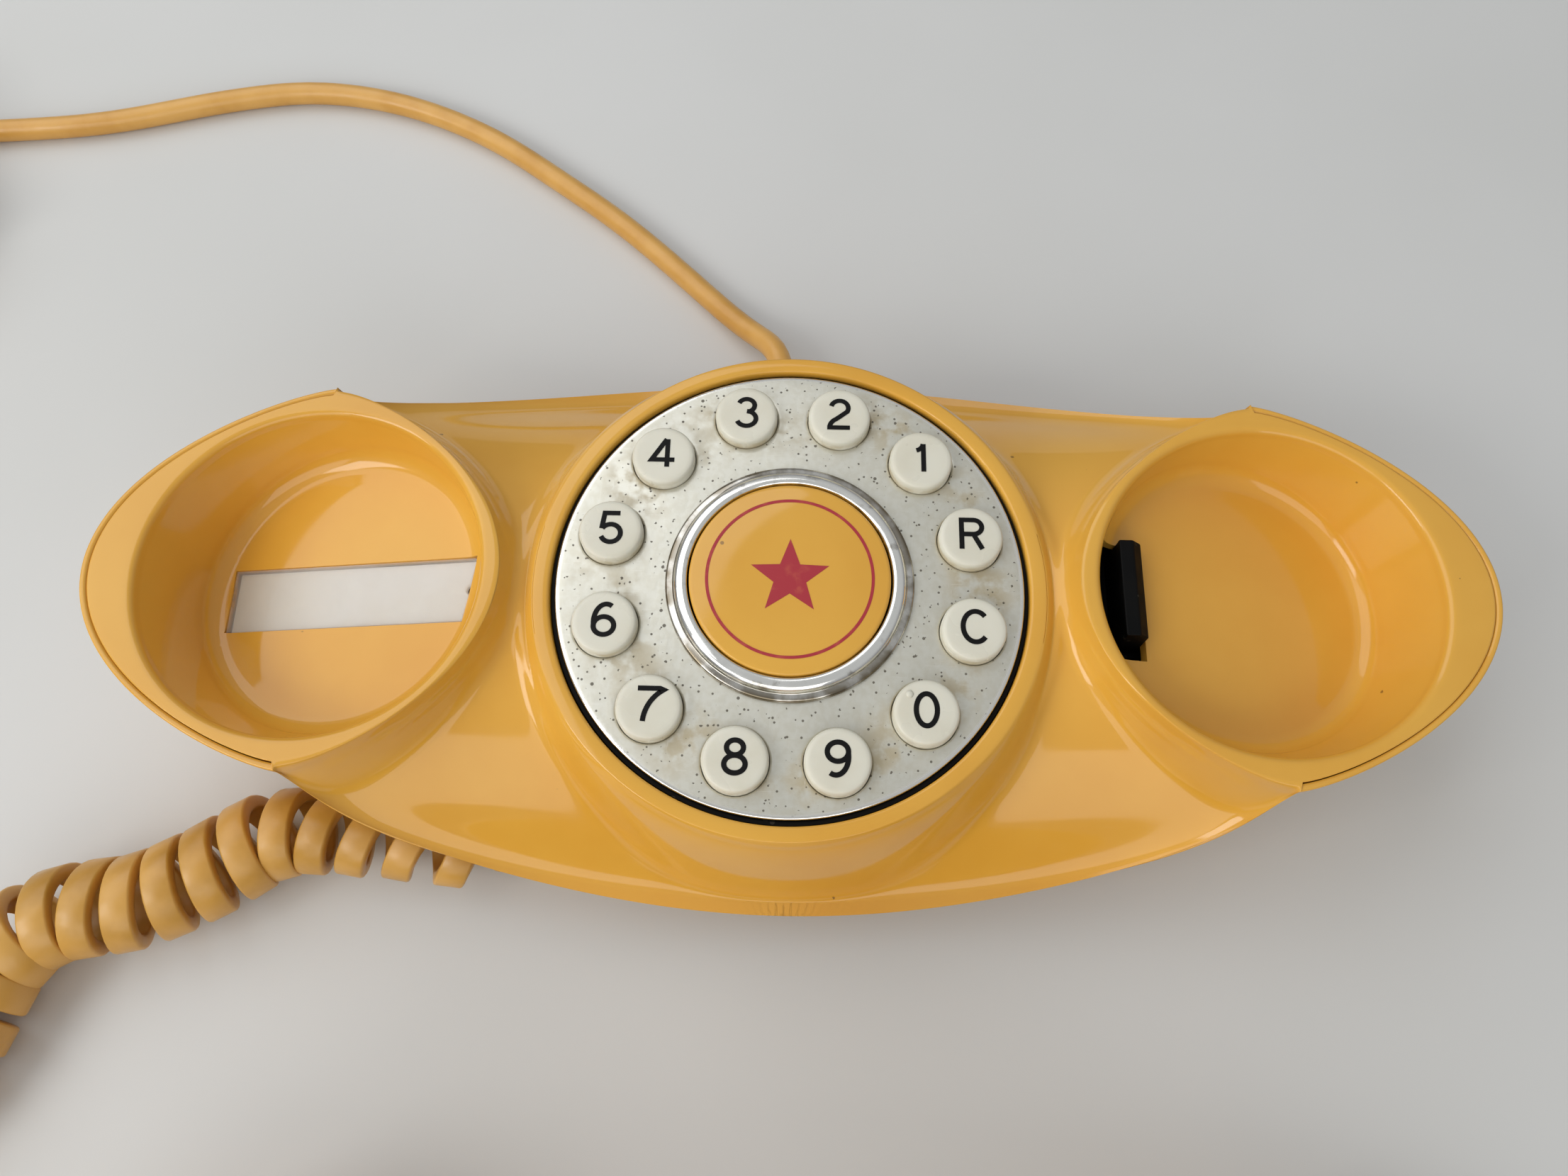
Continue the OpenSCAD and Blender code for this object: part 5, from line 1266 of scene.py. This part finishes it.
def loft(stations, sides=64, power=5.0):
    """Closed body along y from (y, half width, half height) stations, its sections rounded rectangles."""
    turn = round_profile(1, sides)
    across, up = (np.sign(turn) * np.abs(turn) ** (2 / power)).T
    rows = [np.column_stack([plug_x + across * w, np.full(sides, y), plug_mid + up * h])
            for y, w, h in stations]
    points = np.vstack(rows + [[(plug_x, stations[0][0], plug_mid), (plug_x, stations[-1][0], plug_mid)]])
    count = len(stations) * sides
    faces = grid_faces(len(stations), sides) + end_fans(len(stations), sides, count, count + 1)
    return points, [face[::-1] for face in faces]


body_line = [(25.0, 10.6, 7.6), (25.25, 11.3, 8.3), (25.8, 11.8, 8.8), (26.6, 12, 9.0), (36, 12, 9.0),
             (44, 11.7, 8.8), (52, 11.2, 8.3), (57, 10.4, 7.7), (59.6, 9.3, 6.9), (60.6, 8.2, 6.1),
             (61, 6.6, 5.0)]
blocks = [loft(body_line)]
for i in range(6):
    y, wide, high = 38 + 2.6 * i, 7.2 - 0.3 * i, 8.85 - 0.035 * i**2
    points, faces = loft([(y - 0.8, wide - 0.4, 0.3), (y - 0.5, wide, 0.55), (y + 0.5, wide, 0.55),
                          (y + 0.8, wide - 0.4, 0.3)], 32, 6)
    for face_side in (-1, 1):
        blocks.append((points + (0, 0, face_side * high), faces))
tongue = loft([(9.95, 8.2, 1.6), (10.3, 8.8, 2.3), (10.9, 9, 2.5), (26, 9, 2.5)], 64, 9)
blocks.append(tongue)
nose_profile = [(2.35, 12), (2.6, 12), (2.75, 11.8)]
for ring in range(5):
    at, r = 10.8 - 2.0 * ring, 2.9 + 0.42 * ring
    nose_profile += [(r, at + 0.4), (r + 0.05, at), (r - 0.3, at - 0.2), (r - 0.3, at - 0.8),
                     (r + 0.15, at - 1.0)]
nose_profile += [(5.0, 0.4), (5.2, -1.0)]
blocks.append(turned_part(nose_profile, 40, (plug_x, plug_back, cord_low + 2.6), 90))
plug = joined("wall_plug", blocks)
ivory, n, l, bsdf = new_finish("plug_ivory", linear(226, 220, 204), 0.36, IOR=1.5)
place = place_of(n)
smudge = effect(n, l, soft_cloud, place, Scale=50.0)
fleck = effect(n, l, dust_specks, place, Scale=300.0, Size=0.14, Share=0.5)
colour = blend_colour(n, l, smudge, linear(228, 222, 207), linear(211, 202, 181))
colour = blend_colour(n, l, times(n, l, fleck, 0.6), colour, linear(120, 108, 86))
l.new(colour, bsdf.inputs["Base Color"])
l.new(plus(n, l, times(n, l, smudge, 0.14), 0.3), bsdf.inputs["Roughness"])
relief(n, l, bsdf, noise(n, l, place, 500, 3), 0.1, 0.0002)
plug.data.materials.append(ivory)
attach(plug, "base")
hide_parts("line_plug")
gilt, n, l, bsdf = new_finish("contact_gilt", linear(214, 174, 92), 0.25, 1.0)
place = place_of(n)
rub = effect(n, l, fine_scratches, place, Scale=260.0)
l.new(blend_colour(n, l, rub, linear(216, 176, 94), linear(182, 140, 80)), bsdf.inputs["Base Color"])
l.new(plus(n, l, times(n, l, rub, 0.2), 0.22), bsdf.inputs["Roughness"])
refinish(gilt, "plug_contacts")

# ---------------------------------------------------------------- handset
# Two shells in the same glossy yellow plastic, joined along a fine groove and screwed together from
# below. The hollow grip arches between two pods whose round caps fit the cups of the body.
arch_high, grip_thick, grip_half, pod_high = 27.0, 19.0, 14.0, 25.0
arch_reach = cup_x - ridge_in + 2


def hand_half(x):
    """Half width of the handset: a slim grip that swells to the pods, then the lemon outline of the tips."""
    far = np.clip((np.abs(x) - cup_x) / tip_out, 0, 1)
    pod = np.maximum(0.6, corner_y * np.sqrt(1 - far**1.3))
    return np.where(np.abs(x) > cup_x, pod, grip_half + (corner_y - grip_half) * span(x) ** 3.2)


def hand_under(x):
    """Height of the underside: a full arch between the pods, flat on the table under them."""
    return arch_high * np.maximum(0, 1 - (np.abs(x) / arch_reach) ** 2) ** 0.8


def hand_over(x):
    """Height of the upper side: highest over the grip, falling in an ellipse to the tips."""
    far = np.clip((np.abs(x) - cup_x) / tip_out, 0, 1)
    middle = pod_high + (arch_high + grip_thick - pod_high) * (1 - span(x) ** 2) * (1 + 0.35 * span(x) ** 2)
    return np.where(np.abs(x) > cup_x, 3.2 + (pod_high - 3.2) * np.sqrt(1 - far**2), middle)


def hand_shell(name, upper):
    """One of the two shells, from the joint's groove over its outside to the other side's groove."""
    x = (cup_x + tip_out - 0.3) * np.sin(np.radians(np.linspace(-90, 90, 161)))
    half, low, high = hand_half(x), hand_under(x), hand_over(x)
    joint = low + (high - low) * 0.3
    a = np.radians(np.linspace(0, 180, 49))
    out = np.abs(np.cos(a)) ** 0.75 * np.sign(np.cos(a))
    rise = np.sin(a) ** (0.85 if upper else 0.55)
    way = 1 if upper else -1
    step = (high - joint if upper else joint - low) - 0.1
    level = (joint + way * 0.1)[:, None]
    edge = level + way * 0.1
    z = level + way * step[:, None] * rise[1:-1]
    z = np.maximum(z, edge) if upper else np.minimum(z, edge)
    inner = np.maximum(half - 0.7, 0.05)[:, None]
    near = np.maximum(half - 0.12, 0.3)[:, None]
    y = np.hstack([inner, near, half[:, None] * out, -near, -inner])
    z = np.hstack([level, level, edge, z, edge, level, level])
    points = np.stack([np.repeat(x[:, None], y.shape[1], 1), y, z], -1) + (0, hand_y, hand_low)
    rows, columns = y.shape
    ends = points.mean(1)[[0, -1]]
    faces = grid_faces(rows, columns) + end_fans(rows, columns, rows * columns, rows * columns + 1)
    if upper:
        faces = [face[::-1] for face in faces]
    return mesh_object(name, np.vstack([points.reshape(-1, 3), ends]), faces)


upper_shell = hand_shell("handset_top", True)
under_shell = hand_shell("handset_bottom", False)
for thing, node in ((upper_shell, "handset_upper"), (under_shell, "handset_lower")):
    thing.data.materials.append(body_finish)
    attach(thing, "handset")
    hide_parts(node)
refinish(body_finish, "ear_cap", "mouth_cap")

# ---------------------------------------------------------------- metal, rubber and boards inside
# Steel screws, spring and ballast, a grey rubber key mat, and green circuit boards with pale tracks.
# They sit inside the body and the handset.
def bare_steel(name, colour, roughness=0.3):
    """Plated steel with fine scratches and dull patches."""
    made, n, l, bsdf = new_finish(name, colour, roughness, 1.0)
    place = place_of(n)
    dull = effect(n, l, soft_cloud, place, Scale=120.0)
    rub = effect(n, l, fine_scratches, place, Scale=300.0)
    worn = blend_colour(n, l, times(n, l, dull, 0.4), colour, linear(128, 124, 118))
    l.new(worn, bsdf.inputs["Base Color"])
    rough = times(n, l, larger(n, l, dull, rub), 0.2)
    l.new(plus(n, l, rough, roughness - 0.08), bsdf.inputs["Roughness"])
    return made


def rubber(name, colour):
    """Matt rubber with a dusty bloom and a fine grain."""
    made, n, l, bsdf = new_finish(name, colour, 0.75)
    place = place_of(n)
    bloom = effect(n, l, soft_cloud, place, Scale=140.0)
    dusty = blend_colour(n, l, times(n, l, bloom, 0.3), colour, linear(140, 136, 130))
    l.new(dusty, bsdf.inputs["Base Color"])
    relief(n, l, bsdf, noise(n, l, place, 1500, 3), 0.25, 0.0002)
    return made


def circuit_board(name):
    """Green lacquered board with slightly lighter tracks."""
    made, n, l, bsdf = new_finish(name, linear(38, 92, 56), 0.35)
    place = place_of(n)
    cells = n.new("ShaderNodeTexVoronoi")
    cells.distance = "MANHATTAN"
    cells.feature = "DISTANCE_TO_EDGE"
    cells.inputs["Scale"].default_value = 260
    l.new(place, cells.inputs["Vector"])
    track = ramp(n, l, cells.outputs["Distance"], 0.03, 0.09, 1, 0)
    tracks = blend_colour(n, l, times(n, l, track, 0.7), linear(34, 84, 52), linear(88, 142, 84))
    l.new(tracks, bsdf.inputs["Base Color"])
    l.new(ramp(n, l, noise(n, l, place, 200, 3), 0.3, 0.7, 0.28, 0.45), bsdf.inputs["Roughness"])
    return made


steel = bare_steel("plated_steel", linear(196, 194, 190))
refinish(steel, "key_board_screws", "hook_spring", "handset_screws")
refinish(bare_steel("ballast_steel", linear(120, 122, 126), 0.5), "ballast_plate")
refinish(rubber("mat_rubber", linear(96, 97, 100)), "key_mat")
refinish(circuit_board("board_green"), "key_board", "main_board", "handset_board")
refinish(bare_steel("capsule_metal", linear(112, 112, 118), 0.42), "receiver_capsule", "microphone_capsule")

# ---------------------------------------------------------------- feet and screws
# Four round rubber feet pressed into the base, and four cross-head screws beside them that hold the
# cover. A thin black ring round each screw head is painted shade in place of a recess.
foot_profile = [(0, 4.0), (5.0, 4.0), (5.0, 0.7), (4.85, 0.35), (4.5, 0.1), (4.0, 0.02), (3.0, 0.0),
                (2.6, 0.1), (2.3, 0.35), (0, 0.4)]
feet = joined("rubber_feet", [lathe(foot_profile, 48, (x, y)) for x in (-40, 40) for y in (-17, 17)])
feet.data.materials.append(rubber("foot_rubber", linear(38, 37, 36)))
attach(feet, "base")
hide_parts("feet")


def screw_head(x, y):
    """Underside of a cross-head screw: a low dome with a cross-shaped recess."""
    cross = np.array([(1.55, 0.3), (1.55, -0.3), (0.3, -0.3), (0.3, -1.55), (-0.3, -1.55), (-0.3, -0.3),
                      (-1.55, -0.3), (-1.55, 0.3), (-0.3, 0.3), (-0.3, 1.55), (0.3, 1.55), (0.3, 0.3)])
    mouth = at_height(cross, 1.72)
    recess = np.vstack([mouth, at_height(cross * 0.75, 2.6)]) + (x, y, 0)
    walls = [[i, (i + 1) % 12, 12 + (i + 1) % 12, 12 + i] for i in range(12)]
    flat = np.vstack([mouth, at_height(2.2 * unit(cross), 1.8)]) + (x, y, 0)
    ring = [[i, 12 + i, 12 + (i + 1) % 12, (i + 1) % 12] for i in range(12)]
    rim = lathe([(0, 3.2), (2.8, 3.2), (2.8, 2.1), (2.6, 1.9), (2.19, 1.81)], 48, (x, y))
    return [(recess, walls + [[12 + i for i in range(12)]]), (flat, ring), rim]


screw_places = [(x, y) for x in (-38.5, 38.5) for y in (-21, 21)]
heads = [block for x, y in screw_places for block in screw_head(x, y)]
screws = joined("screw_heads", heads)
screws.data.materials.append(steel)
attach(screws, "base")
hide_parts("cover_screws")
# Painted shade: a thin black ring round each screw head stands for the shaded recess that the flat base
# doesn't have.
shade_ring_profile = [(3.6, 2.3), (3.4, 1.96), (2.7, 1.93)]
recess_shade_rings = joined("screw_recess_shade", [lathe(shade_ring_profile, 48, spot) for spot in screw_places])
recess_shade_rings.data.materials.append(carrier_black)
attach(recess_shade_rings, "base")

# ---------------------------------------------------------------- centre lines of the cords
# The curly cord's centre line from its sleeve at the body to its end at the handset, and the line
# cord's from where it leaves the body through its coil to its plug, both in metres.
curl_line = smooth_route(curl_route[1:-1] + [curl_end], 3.0) * 0.001
line_seen = line_path[np.linalg.norm(line_path - cord_exit, axis=1).argmin():] * 0.001
